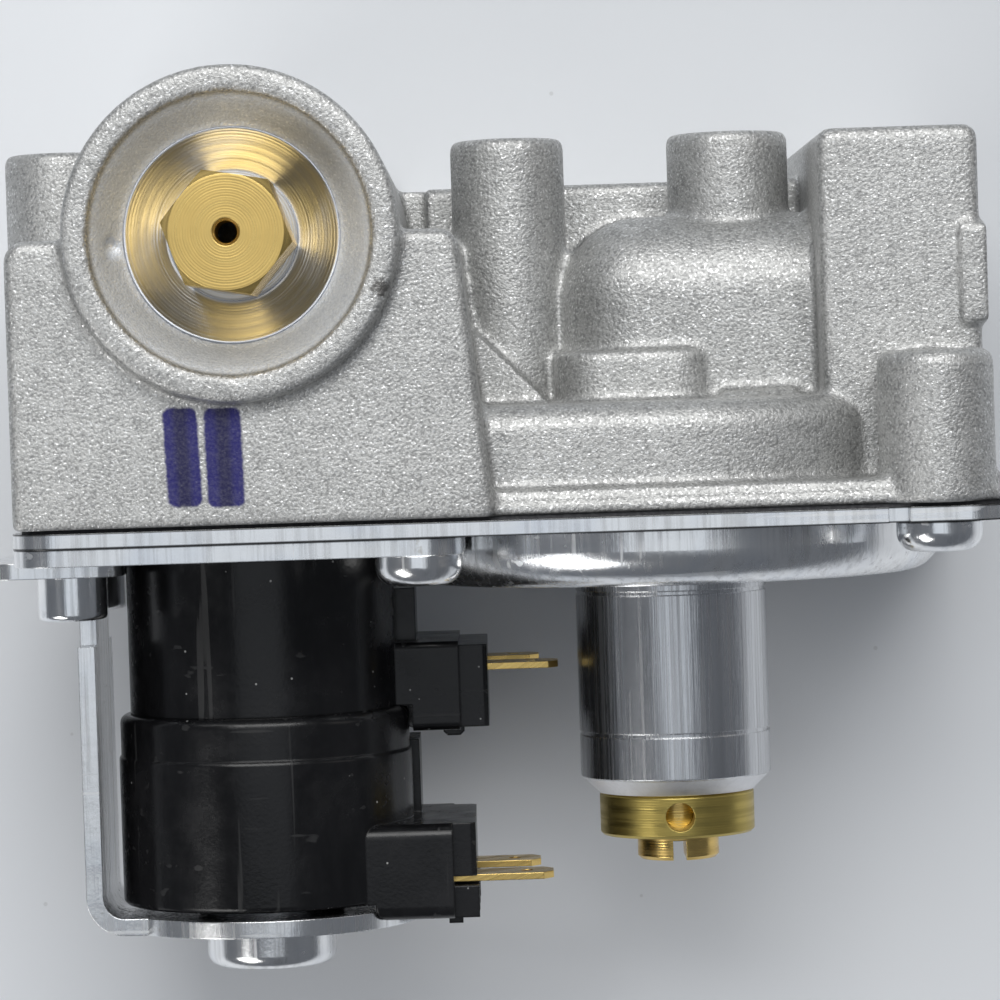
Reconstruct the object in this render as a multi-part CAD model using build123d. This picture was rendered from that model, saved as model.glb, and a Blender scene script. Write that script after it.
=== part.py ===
from build123d import *
import math
import os

os.makedirs("parts", exist_ok=True)

# A two-coil gas control valve lying on its back, in millimetres.
# +Z points out of the outlet, +Y runs from the coils up to the casting, and X runs along the casting.
# The origin is the centre of the inlet port's face. The back faces rest at Z = 0.

# ---- Main places ----
solenoid_x = 0.0
flange_y = -33.0
body_left_x = -26.0
pan_radius = 33.0
pan_rest_gap = 3.0
coil_pan_gap = 0.7
upper_coil_radius = 16.3
coil_axis_z = pan_radius + pan_rest_gap
regulator_x = solenoid_x + upper_coil_radius + coil_pan_gap + pan_radius
body_right_x = regulator_x + 37.6
body_front_z = 2 * coil_axis_z
cover_head_radius = 4.95
cover_screw_gap = 4.48
cover_screw_reach = (pan_radius + cover_head_radius + cover_screw_gap) / math.sqrt(2)

# ---- Fits ----
fixed_gap = 0.05
plunger_gap = 0.06
rod_gap = 0.10
keyed_gap = 0.15
screw_hole_gap = 0.3

# ---- Casting ----
block_height = 33.0
block_right_top_x = regulator_x - cover_screw_reach + 5.6
block_right_foot_x = block_right_top_x + 3.3
block_corner_radius = 2.4
cast_edge = 1.2
back_wall_top = 39.4
back_wall_front_z = coil_axis_z - 6.0
lip_height = 2.9
lip_front_z = body_front_z - 2.0
lip_step = 1.4
lip_step_in = 0.6
boss_top = 44.5
boss_z = coil_axis_z + 3.0
boss_places = (
    (body_left_x + 3.7, 6.7),
    (block_right_foot_x + 2.8, 6.85),
    (regulator_x + 8.3, 7.3),
)
boss_hole_radius = 2.1
boss_hole_depth = 10.0
dome_left_x = regulator_x - 12.1
dome_top = 34.6
dome_front_z = coil_axis_z + 15.4
dome_round = 9.5
dome_shoulder_left_x = regulator_x - 13.4
dome_shoulder_right_x = regulator_x + 6.3
dome_shoulder_height = 18.6
dome_shoulder_front = 17.2
right_block_left_x = regulator_x + 17.7
right_block_right_x = body_right_x - 1.2
right_block_top = 43.6
right_block_front_z = body_front_z - 12.0
side_strip_inset = 2.4
side_strip_proud = 0.7
side_strip_low = 20.5
side_strip_high = 32.2
side_groove = 0.6
corner_boss_radius = 6.7
corner_boss_top = 17.5
chamber_disc_radius = pan_radius - 0.5
chamber_disc_top = 12.6
gusset_front_z = coil_axis_z + 14.0

# ---- Outlet ----
injector_flats = 13.0
injector_corner_gap = 0.4
funnel_foot_radius = injector_flats / math.sqrt(3) + injector_corner_gap
funnel_foot_depth = 8.3
funnel_rim_radius = funnel_foot_radius + 4.3
funnel_rim_depth = 5.5
outlet_throat_radius = funnel_rim_radius + 3.2
outlet_step_radius = outlet_throat_radius + 0.6
outlet_step_depth = 1.5
outlet_ring_radius = outlet_step_radius + 3.15
outlet_ring_z = body_front_z + 3.0
injector_tip_z = outlet_ring_z + 5.2
injector_orifice_radius = 1.25
injector_thread_radius = 5.0
injector_thread_length = 10.0
injector_bore_radius = 3.2
injector_seal_thickness = 0.6

# ---- Inlet and ducts inside the casting ----
inlet_radius = 9.3
inlet_thread_length = 15.0
strainer_radius = 8.2
strainer_length = 5.0
duct_half_width = 5.0
duct_depth = 7.0
outlet_duct_low_z = coil_axis_z + 13.0
outlet_duct_x = 13.5
duct_wall = 1.8
cross_duct_height = 5.0

# ---- Two seats in line above the solenoid ----
valve_chamber_radius = 12.0
valve_chamber_depth = 13.0
first_seat_radius = 6.6
seat_lip_width = 1.1
seat_lip_height = 1.0
second_bore_depth = 24.0
second_seat_radius = 3.8
second_seat_web = 3.0
upper_chamber_radius = 6.0
upper_chamber_height = 9.0

# ---- Sheets under the casting ----
gasket_thickness = 0.4
cover_thickness = 1.8
cover_left_x = body_left_x - 0.5
cover_right_x = body_right_x + 0.6
cover_low_z = 1.0
cover_high_z = body_front_z - 0.8
cover_corner = 5.0
base_plate_thickness = 2.05
base_plate_right_x = block_right_top_x - 0.2
pan_depth = 8.8
pan_corner = 4.2
pan_wall = 1.6
cover_notch_x = regulator_x + 23.8
cover_notch_width = 2.4
cover_notch_depth = 1.6

# ---- Cover screws ----
screw_radius = 2.45
cover_head_height = 3.5
cover_screw_grip = 9.0
drive_depth = 2.0
drive_radius = 1.9

# ---- Coil bracket ----
bracket_foot_thickness = 1.9
bracket_foot_half_width = 18.6
bracket_neck_half_width = 8.2
bracket_leg_half_width = 11.5
bracket_leg_gap = 1.55
bracket_sheet = 2.0
bracket_bend = 2.6
bracket_neck_length = 8.6
bracket_screw_reach = 13.4
cap_head_radius = 4.1
cap_head_height = 5.2
cap_screw_grip = 10.0

# ---- Coils ----
upper_coil_length = 19.0
lower_coil_radius = 17.85
lower_coil_length = 23.0
lower_shoulder_radius = lower_coil_radius - 0.25
lower_shoulder_length = 4.9
lower_shoulder_edge = 1.1
coil_wall = 2.4
coil_end_wall = 1.6
bobbin_wall = 0.9
bobbin_flange = 1.0
winding_slack = 0.4
middle_washer_radius = 13.0
middle_washer_thickness = 1.0
bracket_floor_low_gap = 0.9
stack_screw_radius = 4.0
nut_flange_radius = 8.4
nut_flange_thickness = 1.2
nut_radius = 7.9
nut_edge = 1.6
nut_socket_flats = 6.0
nut_socket_depth = 2.2
nut_height = 5.2

# ---- Plugs on the coils ----
tab_width = 6.3
tab_thickness = 0.8
tab_spacing = 7.0
tab_root = 6.0
plug_bury = 0.8
upper_plug_reach = 11.1
upper_plug_step = 3.5
upper_plug_drop = 11.4
upper_plug_height = 10.8
upper_plug_set_back = 9.5
plug_root_inset = 3.3
coil_spine_proud = 0.85
coil_spine_low = 14.0
coil_spine_high = 3.0
upper_plug_half_width = 12.0
upper_tab_drop = 3.3
upper_tab_length = 8.6
lower_plug_reach = 4.75
lower_plug_step = 2.8
lower_plug_rise = 9.4
lower_plug_height = 11.4
lower_plug_half_width = 13.0
lower_tab_drop = 6.8
lower_tab_length = 9.4

# ---- Guide tube, core and plungers ----
tube_bore_radius = 4.9
tube_wall = 0.5
tube_flange_radius = 9.4
tube_flange_thickness = 0.8
tube_seal_thickness = 0.6
plunger_stroke = 2.5
plunger_spare = 0.6
first_plunger_length = 18.0
second_plunger_length = 14.0
rod_radius = 1.6
disc_radius = 8.4
disc_rubber = 2.0
disc_backing = 1.5
neck_radius = 3.4
small_disc_radius = 5.4
small_disc_rubber = 2.0
small_disc_backing = 1.0
first_spring_radius = 6.3
first_spring_wire = 0.35
first_spring_turns = 4
core_spring_radius = 2.2
core_spring_wire = 0.3
core_spring_turns = 7
core_spring_pocket_radius = 2.9
core_spring_pocket_depth = 4.0

# ---- Regulator ----
diaphragm_thickness = 0.8
diaphragm_fold_radius = 19.3
diaphragm_fold_size = 1.6
regulator_chamber_radius = pan_radius - 11.0
diaphragm_radius = regulator_chamber_radius + 5.0
regulator_chamber_depth = 10.0
regulator_seat_radius = 5.0
regulator_seat_top = 17.0
regulator_upper_radius = 9.5
regulator_upper_top = 30.4
regulator_lift = 2.0
regulator_disc_radius = 7.0
regulator_disc_rubber = 1.5
regulator_disc_backing = 1.0
stem_radius = 2.0
pressure_plate_radius = 16.5
pressure_plate_thickness = 1.2
spring_cup_radius = 13.5
spring_cup_thickness = 1.2
spring_cup_rim = 1.0
rivet_radius = 3.4
rivet_height = 1.2
tower_bore_radius = 9.0
tower_wall = 2.6
tower_radius = tower_bore_radius + tower_wall
tower_length = 26.2
tower_flange_radius = tower_radius + 2.4
tower_flange_thickness = 1.5
tower_chamfer = 2.1
tower_groove_places = (1.5, 18.6)
tower_groove_depth = 0.2
tower_groove_width = 0.5
collar_radius = tower_radius - 2.2
collar_length = 5.2
collar_spigot_radius = tower_bore_radius - 1.5
collar_spigot_length = 4.6
collar_pin_hole_radius = 1.75
adjuster_radius = 4.95
adjuster_gap = 0.08
adjuster_shoulder_radius = collar_spigot_radius - 0.9
adjuster_shoulder_length = 1.4
adjuster_proud = 3.1
adjuster_slot_width = 1.6
adjuster_slot_depth = 2.4
adjuster_thread_radius = 3.5
adjuster_thread_length = 13.0
follower_thickness = 5.0
follower_travel = 2.0
follower_key_width = 2.0
follower_key_height = 0.9
regulator_spring_radius = 6.0
regulator_spring_wire = 0.7
regulator_spring_turns = 6


# ---- Levels worked out from the sizes above ----
bracket_leg_x = solenoid_x - lower_coil_radius - bracket_leg_gap - bracket_sheet
bracket_foot_left_x = bracket_leg_x - 10.2
bracket_foot_right_x = bracket_leg_x + 6.0
bracket_screw_x = bracket_leg_x - 0.2
block_top_y = flange_y + block_height
cross_duct_y = flange_y + regulator_upper_top - 6.4
gasket_low_y = flange_y - gasket_thickness
cover_low_y = gasket_low_y - cover_thickness
base_plate_low_y = cover_low_y - base_plate_thickness
foot_low_y = base_plate_low_y - bracket_foot_thickness
coil_top_y = base_plate_low_y - 0.3
coil_joint_y = coil_top_y - upper_coil_length
coil_bottom_y = coil_joint_y - lower_coil_length
bracket_floor_y = coil_bottom_y - bracket_floor_low_gap
bracket_bottom_y = bracket_floor_y - bracket_sheet
nut_bottom_y = bracket_bottom_y - nut_height
upper_plug_step_x = solenoid_x + upper_coil_radius + upper_plug_reach - upper_plug_step
upper_plug_x = upper_plug_step_x + upper_plug_step
upper_plug_top = coil_top_y - upper_plug_drop
upper_plug_bottom = upper_plug_top - upper_plug_height
upper_tab_y = upper_plug_top - upper_tab_drop
lower_plug_x = solenoid_x + lower_coil_radius + lower_plug_reach
lower_plug_step_x = lower_plug_x + lower_plug_step
lower_plug_top = coil_bottom_y + lower_plug_rise
lower_plug_bottom = lower_plug_top - lower_plug_height
lower_tab_y = lower_plug_top - lower_tab_drop
pan_floor_y = flange_y - pan_depth
pan_inner_y = pan_floor_y + pan_wall
tower_bottom_y = pan_floor_y - tower_length
collar_bottom_y = tower_bottom_y - collar_length
seat_face_y = flange_y + valve_chamber_depth
first_lip_y = seat_face_y - seat_lip_height
second_seat_y = flange_y + second_bore_depth
upper_chamber_y = second_seat_y + second_seat_web
upper_chamber_top_y = upper_chamber_y + upper_chamber_height
tube_flange_y = gasket_low_y + tube_seal_thickness + tube_flange_thickness
tube_outer_radius = tube_bore_radius + tube_wall
plunger_radius = tube_bore_radius - plunger_gap
regulator_seat_y = flange_y + regulator_seat_top
ring_face_z = outlet_ring_z
funnel_seat_z = ring_face_z - funnel_foot_depth
screw_xs = (regulator_x - cover_screw_reach, regulator_x + cover_screw_reach)
screw_zs = (coil_axis_z - cover_screw_reach, coil_axis_z + cover_screw_reach)
bracket_screw_zs = (coil_axis_z - bracket_screw_reach, coil_axis_z + bracket_screw_reach)
coil_hole_radius = tube_outer_radius + fixed_gap


def box(x_low, x_high, y_low, y_high, z_low, z_high):
    """A block between two corners."""
    centre = ((x_low + x_high) / 2, (y_low + y_high) / 2, (z_low + z_high) / 2)
    return Pos(*centre) * Box(x_high - x_low, y_high - y_low, z_high - z_low)


def y_rod(radius, x, z, y_low, y_high):
    """A round bar along Y."""
    return Pos(x, (y_low + y_high) / 2, z) * Rot(90, 0, 0) * Cylinder(radius, y_high - y_low)


def z_rod(radius, x, y, z_low, z_high):
    """A round bar along Z."""
    return Pos(x, y, (z_low + z_high) / 2) * Cylinder(radius, z_high - z_low)


def y_ring(outer, inner, x, z, y_low, y_high):
    """A round sleeve or washer along Y."""
    return y_rod(outer, x, z, y_low, y_high) - y_rod(inner, x, z, y_low - 1, y_high + 1)


def y_cone(radius_low, radius_high, x, z, y_low, y_high):
    """A round taper along Y."""
    return Pos(x, (y_low + y_high) / 2, z) * Rot(-90, 0, 0) * Cone(radius_low, radius_high, y_high - y_low)


def z_cone(radius_low, radius_high, x, y, z_low, z_high):
    """A round taper along Z."""
    return Pos(x, y, (z_low + z_high) / 2) * Cone(radius_low, radius_high, z_high - z_low)


def rounded_end(radius, x, z, y_low, y_high, edge):
    """A round bar along Y whose upper rim is rounded."""
    bar = y_rod(radius, x, z, y_low, y_high)
    return fillet(bar.edges().group_by(Axis.Y)[-1], edge)


def y_spring(radius, wire, turns, x, z, y_low, y_high):
    """A round-wire spring along Y that fills the height between two faces."""
    height = y_high - y_low - 2 * wire - 2 * fixed_gap
    path = Helix(pitch=height / turns, height=height, radius=radius)
    section = Plane(origin=path @ 0, z_dir=path % 0) * Circle(wire)
    return Pos(x, y_low + wire + fixed_gap, z) * Rot(-90, 0, 0) * sweep(section, path=path, is_frenet=True)


def sheet(outline, y_top, thickness):
    """A flat sheet cut to an outline drawn in X and Z."""
    return extrude(Plane.XZ.offset(-y_top) * outline, amount=thickness)


def rectangle_outline(x_low, x_high, z_low, z_high, corner):
    """A rectangle in X and Z with round corners."""
    centre = Pos((x_low + x_high) / 2, (z_low + z_high) / 2)
    return centre * RectangleRounded(x_high - x_low, z_high - z_low, corner)


def save(name, shape):
    """Write one piece, or one group of like pieces."""
    export_step(shape, f"parts/{name}.step")


def front_outline(points):
    """A flat face from corners in X and Y."""
    return make_face(Polyline(*points, close=True))


def on_rounded_side(place):
    """Whether a dome edge's middle lies where its left, top and front sides meet each other."""
    on_left = abs(place.X - dome_left_x) < 0.01
    on_top = abs(place.Y - flange_y - dome_top) < 0.01
    on_front = abs(place.Z - dome_front_z) < 0.01
    return on_left + on_top + on_front == 2


def cast_outside():
    """The casting's outer shape, with no holes."""
    lip_top_y = flange_y + lip_height
    left = extrude(
        front_outline(
            (
                (body_left_x, flange_y),
                (body_left_x, block_top_y),
                (block_right_top_x, block_top_y),
                (block_right_foot_x, flange_y + 1.0),
                (block_right_foot_x, flange_y),
            )
        ),
        amount=body_front_z,
    )
    upright = left.edges().filter_by(Axis.Z).group_by(Axis.Y)[-1]
    left = fillet(upright, block_corner_radius)
    left = fillet(
        left.faces().sort_by(Axis.Z)[-1].edges().filter_by(lambda e: e.center().Y > flange_y + 1.5),
        cast_edge,
    )

    outlet = z_rod(outlet_ring_radius, solenoid_x, 0, 0, ring_face_z)
    outlet = fillet(outlet.edges().group_by(Axis.Z)[-1], 0.8)

    wall = box(
        block_right_top_x - 4, right_block_right_x, flange_y, flange_y + back_wall_top, 0, back_wall_front_z
    )
    wall = fillet(wall.edges().filter_by(Axis.X).group_by(Axis.Z)[-1].group_by(Axis.Y)[-1], cast_edge)
    left_wall = box(body_left_x + 1.5, block_right_top_x, block_top_y - 5, flange_y + back_wall_top, 0, 24.0)

    lip = extrude(
        Plane.XZ.offset(-flange_y) * rectangle_outline(block_right_top_x - 8, body_right_x, 0.0, lip_front_z, 5.0),
        amount=-lip_height,
    )
    lip_foot = extrude(
        Plane.XZ.offset(-flange_y) * rectangle_outline(
            block_right_top_x - 8, body_right_x + lip_step_in, 0.0, lip_front_z + lip_step_in, 5.0
        ),
        amount=-lip_step,
    )

    solids = left + outlet + wall + left_wall + lip + lip_foot
    for x, radius in boss_places:
        solids += rounded_end(
            radius, x, boss_z, lip_top_y if x > block_right_foot_x else block_top_y - 6, flange_y + boss_top,
            1.0,
        )

    disc = y_rod(chamber_disc_radius, regulator_x, coil_axis_z, flange_y, flange_y + chamber_disc_top)
    disc = fillet(disc.edges().group_by(Axis.Y)[-1], 3.2)
    left_front = box(
        block_right_top_x, regulator_x, flange_y, flange_y + chamber_disc_top, coil_axis_z, coil_axis_z + chamber_disc_radius
    )
    left_front = fillet(left_front.edges().filter_by(Axis.X).group_by(Axis.Z)[-1].group_by(Axis.Y)[-1], 3.2)
    solids += disc + left_front

    dome = box(
        dome_left_x, right_block_left_x + 4, flange_y + 5, flange_y + dome_top, back_wall_front_z - 4, dome_front_z
    )
    dome = fillet(dome.edges().filter_by(lambda e: on_rounded_side(e.center())), dome_round)
    solids += dome
    shoulder = box(
        dome_shoulder_left_x,
        dome_shoulder_right_x,
        flange_y + 5,
        flange_y + dome_shoulder_height,
        back_wall_front_z - 4,
        coil_axis_z + dome_shoulder_front,
    )
    shoulder = fillet(shoulder.edges().filter_by(Axis.Y).group_by(Axis.Z)[-1], 6.0)
    shoulder = fillet(shoulder.faces().sort_by(Axis.Y)[-1].edges(), 0.8)
    solids += shoulder

    right = box(
        right_block_left_x,
        right_block_right_x,
        flange_y,
        flange_y + right_block_top,
        0,
        right_block_front_z,
    )
    right = fillet(right.edges().filter_by(Axis.Z).group_by(Axis.Y)[-1], 1.6)
    right = fillet(
        right.faces().sort_by(Axis.Z)[-1].edges().filter_by(lambda e: e.center().Y > flange_y + 1.5),
        cast_edge,
    )
    strip = box(
        right_block_right_x - side_strip_inset,
        right_block_right_x + side_strip_proud,
        flange_y + side_strip_low,
        flange_y + side_strip_high,
        right_block_front_z - 22,
        right_block_front_z + 0.6,
    )
    strip = fillet(strip.edges().filter_by(Axis.X).group_by(Axis.Z)[-1].group_by(Axis.Y)[-1], 0.8)
    groove = box(
        right_block_right_x - side_strip_inset - side_groove,
        right_block_right_x - side_strip_inset,
        flange_y + corner_boss_top,
        flange_y + side_strip_high - 3,
        right_block_front_z - 3,
        right_block_front_z + 1,
    )
    solids += right - groove
    solids += strip
    solids += rounded_end(
        corner_boss_radius, screw_xs[1], screw_zs[1], flange_y, flange_y + corner_boss_top, 1.6
    ) & box(0, body_right_x + 5, -100, 100, 0, 100)

    gusset = extrude(
        Pos(0, 0, back_wall_front_z)
        * front_outline(
            (
                (block_right_top_x - 1, flange_y + 22.0),
                (block_right_top_x + 1.6, flange_y + 21.6),
                (block_right_top_x + 10.8, flange_y + chamber_disc_top - 0.5),
                (block_right_top_x - 1, flange_y + chamber_disc_top - 0.5),
            )
        ),
        amount=gusset_front_z - back_wall_front_z,
    )
    solids += gusset

    solids += box(
        block_right_top_x - 3, dome_left_x + 6, cross_duct_y - duct_wall, cross_duct_y + cross_duct_height + duct_wall,
        back_wall_front_z - 4, coil_axis_z + 4 + duct_wall,
    )

    step_y = flange_y + chamber_disc_top
    for start, width, rise, reach in ((6.2, 4.4, 0.8, 18.6), (10.9, 4.0, 1.0, 17.6)):
        left_x = regulator_x + start
        solids += box(
            left_x, left_x + width, step_y - 1, step_y + rise, coil_axis_z + 10, coil_axis_z + reach
        )
    return solids


def cast_inside():
    """Everything bored or cored out of the casting."""
    x = solenoid_x
    z = coil_axis_z
    throat_z = ring_face_z - funnel_rim_depth
    holes = z_rod(outlet_step_radius, x, 0, ring_face_z - outlet_step_depth, ring_face_z + 2)
    holes += z_cone(
        funnel_rim_radius + 0.6, outlet_throat_radius, x, 0, throat_z, ring_face_z - outlet_step_depth
    )
    holes += z_cone(funnel_foot_radius, funnel_rim_radius, x, 0, funnel_seat_z, throat_z)
    duct_top_z = outlet_duct_low_z + duct_depth
    holes += z_rod(injector_thread_radius + fixed_gap, x, 0, outlet_duct_low_z, funnel_seat_z + 1)
    holes += box(x, outlet_duct_x + 2.0, -4.0, 4.0, outlet_duct_low_z - 4.5, outlet_duct_low_z + 1.0)
    low_duct_y = flange_y + 2.4
    side_z = outlet_duct_low_z - 4.5
    holes += box(
        outlet_duct_x, outlet_duct_x + duct_depth, low_duct_y, block_top_y - duct_wall, side_z,
        duct_top_z - 3,
    )
    holes += box(outlet_duct_x, regulator_x - 12, low_duct_y, low_duct_y + 6.0, side_z, duct_top_z - 3)

    strainer_z = inlet_thread_length + strainer_length
    holes += z_rod(inlet_radius, x, 0, -1, inlet_thread_length)
    holes += z_rod(strainer_radius + fixed_gap, x, 0, inlet_thread_length - 1, strainer_z)
    holes += box(
        x - duct_half_width, x + duct_half_width, flange_y + 4, 6.0, strainer_z - 0.5,
        strainer_z + duct_depth,
    )

    holes += y_rod(valve_chamber_radius, x, z, flange_y - 1, seat_face_y)
    holes -= y_ring(
        first_seat_radius + seat_lip_width, first_seat_radius, x, z, first_lip_y, seat_face_y + 0.5
    )
    holes += y_rod(first_seat_radius, x, z, seat_face_y - 2, second_seat_y)
    holes += y_rod(second_seat_radius, x, z, second_seat_y - 1, upper_chamber_y + 1)
    holes += y_rod(upper_chamber_radius, x, z, upper_chamber_y, upper_chamber_top_y)
    holes += box(x, regulator_x, cross_duct_y, cross_duct_y + cross_duct_height, z - 4, z + 4)
    holes += y_rod(regulator_upper_radius, regulator_x, z, regulator_seat_y, flange_y + regulator_upper_top)
    holes += y_rod(regulator_seat_radius, regulator_x, z, flange_y, regulator_seat_y + 1)
    holes += y_rod(regulator_chamber_radius, regulator_x, z, flange_y - 1, flange_y + regulator_chamber_depth)
    holes += y_rod(
        diaphragm_radius + fixed_gap, regulator_x, z, flange_y - 1, flange_y + diaphragm_thickness - gasket_thickness
    )
    for screw_x in screw_xs:
        for screw_z in screw_zs:
            holes += y_rod(
                screw_radius + fixed_gap, screw_x, screw_z, flange_y - 1, flange_y + cover_screw_grip
            )
    for screw_z in bracket_screw_zs:
        holes += y_rod(
            screw_radius + fixed_gap, bracket_screw_x, screw_z, flange_y - 1, flange_y + cap_screw_grip
        )
    for boss_x, _ in boss_places:
        top_y = flange_y + boss_top
        holes += y_rod(boss_hole_radius, boss_x, boss_z, top_y - boss_hole_depth, top_y + 1)
    return holes


def valve_body():
    """The aluminium casting that all the rest hangs from."""
    dimple_x = solenoid_x - (funnel_rim_radius + outlet_throat_radius) / 2 + 0.5
    dimple = Pos(dimple_x, -1.0, ring_face_z - funnel_rim_depth / 2 - 1.4) * Sphere(1.3)
    return cast_outside() - cast_inside() - dimple


def screw_holes(y_low, y_high, radius, xs):
    """Clearance holes for the cover screws in one sheet."""
    cut = [y_rod(radius, x, z, y_low, y_high) for x in xs for z in screw_zs]
    cut += [y_rod(radius, bracket_screw_x, z, y_low, y_high) for z in bracket_screw_zs]
    return cut


def cover_outline():
    """The outline that the gasket and the cover share."""
    return rectangle_outline(cover_left_x, cover_right_x, cover_low_z, cover_high_z, cover_corner)


def cover_gasket():
    """The thin gasket between the casting and the cover."""
    gasket = sheet(
        rectangle_outline(body_left_x + 0.4, body_right_x, cover_low_z, lip_front_z, cover_corner), flange_y,
        gasket_thickness,
    )
    gasket -= y_rod(valve_chamber_radius, solenoid_x, coil_axis_z, flange_y - 2, flange_y + 1)
    gasket -= y_rod(diaphragm_radius + fixed_gap, regulator_x, coil_axis_z, flange_y - 2, flange_y + 1)
    for hole in screw_holes(flange_y - 2, flange_y + 1, screw_radius + screw_hole_gap, screw_xs):
        gasket -= hole
    return gasket


def cover_plate():
    """The pressed steel cover with its round drawn pan."""
    cover = sheet(cover_outline(), gasket_low_y, cover_thickness)
    pan = y_rod(pan_radius, regulator_x, coil_axis_z, pan_floor_y, gasket_low_y)
    pan = fillet(pan.edges().group_by(Axis.Y)[0], pan_corner)
    hollow = y_rod(pan_radius - pan_wall, regulator_x, coil_axis_z, pan_inner_y, gasket_low_y + 2)
    hollow = fillet(hollow.edges().group_by(Axis.Y)[0], pan_corner - pan_wall)
    clamp = y_ring(
        40, diaphragm_fold_radius + 4.0, regulator_x, coil_axis_z, gasket_low_y - cover_thickness,
        gasket_low_y,
    )
    hollow -= clamp
    cover = cover + pan - hollow
    cover -= y_rod(tower_radius + fixed_gap, regulator_x, coil_axis_z, pan_floor_y - 1, pan_inner_y + 1)
    cover -= y_rod(coil_hole_radius, solenoid_x, coil_axis_z, cover_low_y - 1, gasket_low_y + 1)
    for hole in screw_holes(cover_low_y - 1, gasket_low_y + 1, screw_radius + screw_hole_gap, screw_xs):
        cover -= hole
    cover -= box(
        cover_notch_x,
        cover_notch_x + cover_notch_width,
        cover_low_y - 1,
        gasket_low_y + 1,
        cover_high_z - cover_notch_depth,
        cover_high_z + 1,
    )
    return cover


def solenoid_base_plate():
    """The steel plate that carries the coils and closes their magnetic path."""
    outline = rectangle_outline(
        cover_left_x, base_plate_right_x, cover_low_z, cover_high_z - 0.6, cover_corner
    )
    plate = sheet(outline, cover_low_y, base_plate_thickness)
    plate -= y_rod(pan_radius + 0.5, regulator_x, coil_axis_z, base_plate_low_y - 1, cover_low_y + 1)
    plate -= y_rod(coil_hole_radius, solenoid_x, coil_axis_z, base_plate_low_y - 1, cover_low_y + 1)
    for hole in screw_holes(
        base_plate_low_y - 1, cover_low_y + 1, screw_radius + screw_hole_gap, screw_xs[:1]
    ):
        plate -= hole
    return plate


def drive_recess(x, z, y_low, depth):
    """A hexagon key socket that opens downwards."""
    socket = extrude(RegularPolygon(drive_radius, 6), amount=depth + 1)
    return Pos(x, y_low - 1, z) * Rot(-90, 0, 0) * socket


def pan_screw(x, z, seat_y):
    """One pan-head screw whose head hangs below its seat."""
    head = y_rod(cover_head_radius, x, z, seat_y - cover_head_height, seat_y)
    head = fillet(head.edges().group_by(Axis.Y)[0], cover_head_height * 0.62)
    shank = y_rod(screw_radius, x, z, seat_y - 0.5, flange_y + cover_screw_grip - 1)
    return head + shank - drive_recess(x, z, seat_y - cover_head_height, drive_depth)


def cover_screws():
    """Four screws that hold the cover to the casting."""
    screws = []
    for x in screw_xs:
        seat_y = base_plate_low_y if x < regulator_x else cover_low_y
        screws += [pan_screw(x, z, seat_y) for z in screw_zs]
    return screws


def bracket_screws():
    """Two cap screws that hold the coil bracket's foot."""
    screws = []
    for z in bracket_screw_zs:
        head = y_rod(cap_head_radius, bracket_screw_x, z, foot_low_y - cap_head_height, foot_low_y)
        head = fillet(head.edges().group_by(Axis.Y)[0], 0.7)
        shank = y_rod(screw_radius, bracket_screw_x, z, foot_low_y - 0.5, flange_y + cap_screw_grip - 1)
        screws.append(head + shank - drive_recess(bracket_screw_x, z, foot_low_y - cap_head_height, 3.0))
    return screws


def coil_bracket():
    """The bent steel strap that clamps the coils and carries the flux."""
    z = coil_axis_z
    foot = sheet(
        rectangle_outline(
            bracket_foot_left_x, bracket_foot_right_x, z - bracket_foot_half_width, z + bracket_foot_half_width, 3.5
        ),
        base_plate_low_y,
        bracket_foot_thickness,
    )
    neck_inner_x = bracket_leg_x + bracket_sheet
    foot -= box(
        neck_inner_x, 0, foot_low_y - 1, base_plate_low_y + 1, z - bracket_neck_half_width - 1, z + bracket_neck_half_width + 1
    )
    neck_low_y = foot_low_y - bracket_neck_length
    neck = box(
        bracket_leg_x, neck_inner_x, neck_low_y - 1, base_plate_low_y, z - bracket_neck_half_width,
        z + bracket_neck_half_width,
    )
    leg = box(
        bracket_leg_x, neck_inner_x, bracket_bottom_y, neck_low_y, z - bracket_leg_half_width,
        z + bracket_leg_half_width,
    )
    floor = box(
        bracket_leg_x, solenoid_x, bracket_bottom_y, bracket_floor_y, z - bracket_leg_half_width,
        z + bracket_leg_half_width,
    )
    elbow = leg + floor
    outer_bend = elbow.edges().filter_by(Axis.Z).sort_by(lambda e: e.center().X + e.center().Y)[0]
    elbow = fillet(outer_bend, bracket_bend + bracket_sheet)
    floor_end = y_rod(lower_coil_radius + 0.35, solenoid_x, z, bracket_bottom_y, bracket_floor_y)
    inner_bend = elbow.edges().filter_by(Axis.Z).filter_by(
        lambda e: abs(e.center().X - neck_inner_x) < 0.01 and abs(e.center().Y - bracket_floor_y) < 0.01
    )
    elbow = fillet(inner_bend, bracket_bend)
    bracket = foot + neck + elbow + floor_end
    bracket -= y_rod(stack_screw_radius + 0.2, solenoid_x, z, bracket_bottom_y - 1, bracket_floor_y + 1)
    for screw_z in bracket_screw_zs:
        bracket -= y_rod(
            screw_radius + screw_hole_gap, bracket_screw_x, screw_z, foot_low_y - 1, base_plate_low_y + 1
        )
    return bracket


def tabs(y, middle_z, root_x, lengths):
    """A pair of flat spade terminals that stand out along X."""
    pair = []
    for side, length in zip((1, -1), lengths):
        z = middle_z + side * tab_spacing
        tab = box(
            root_x - tab_root, root_x + length, y - tab_thickness / 2, y + tab_thickness / 2,
            z - tab_width / 2, z + tab_width / 2,
        )
        tip = tab.edges().filter_by(Axis.Y).group_by(Axis.X)[-1]
        tab = chamfer(tip, 1.6, 1.2)
        tab -= y_rod(0.8, root_x + length - 3.2, z, y - 2, y + 2)
        pair.append(tab)
    return pair


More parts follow.
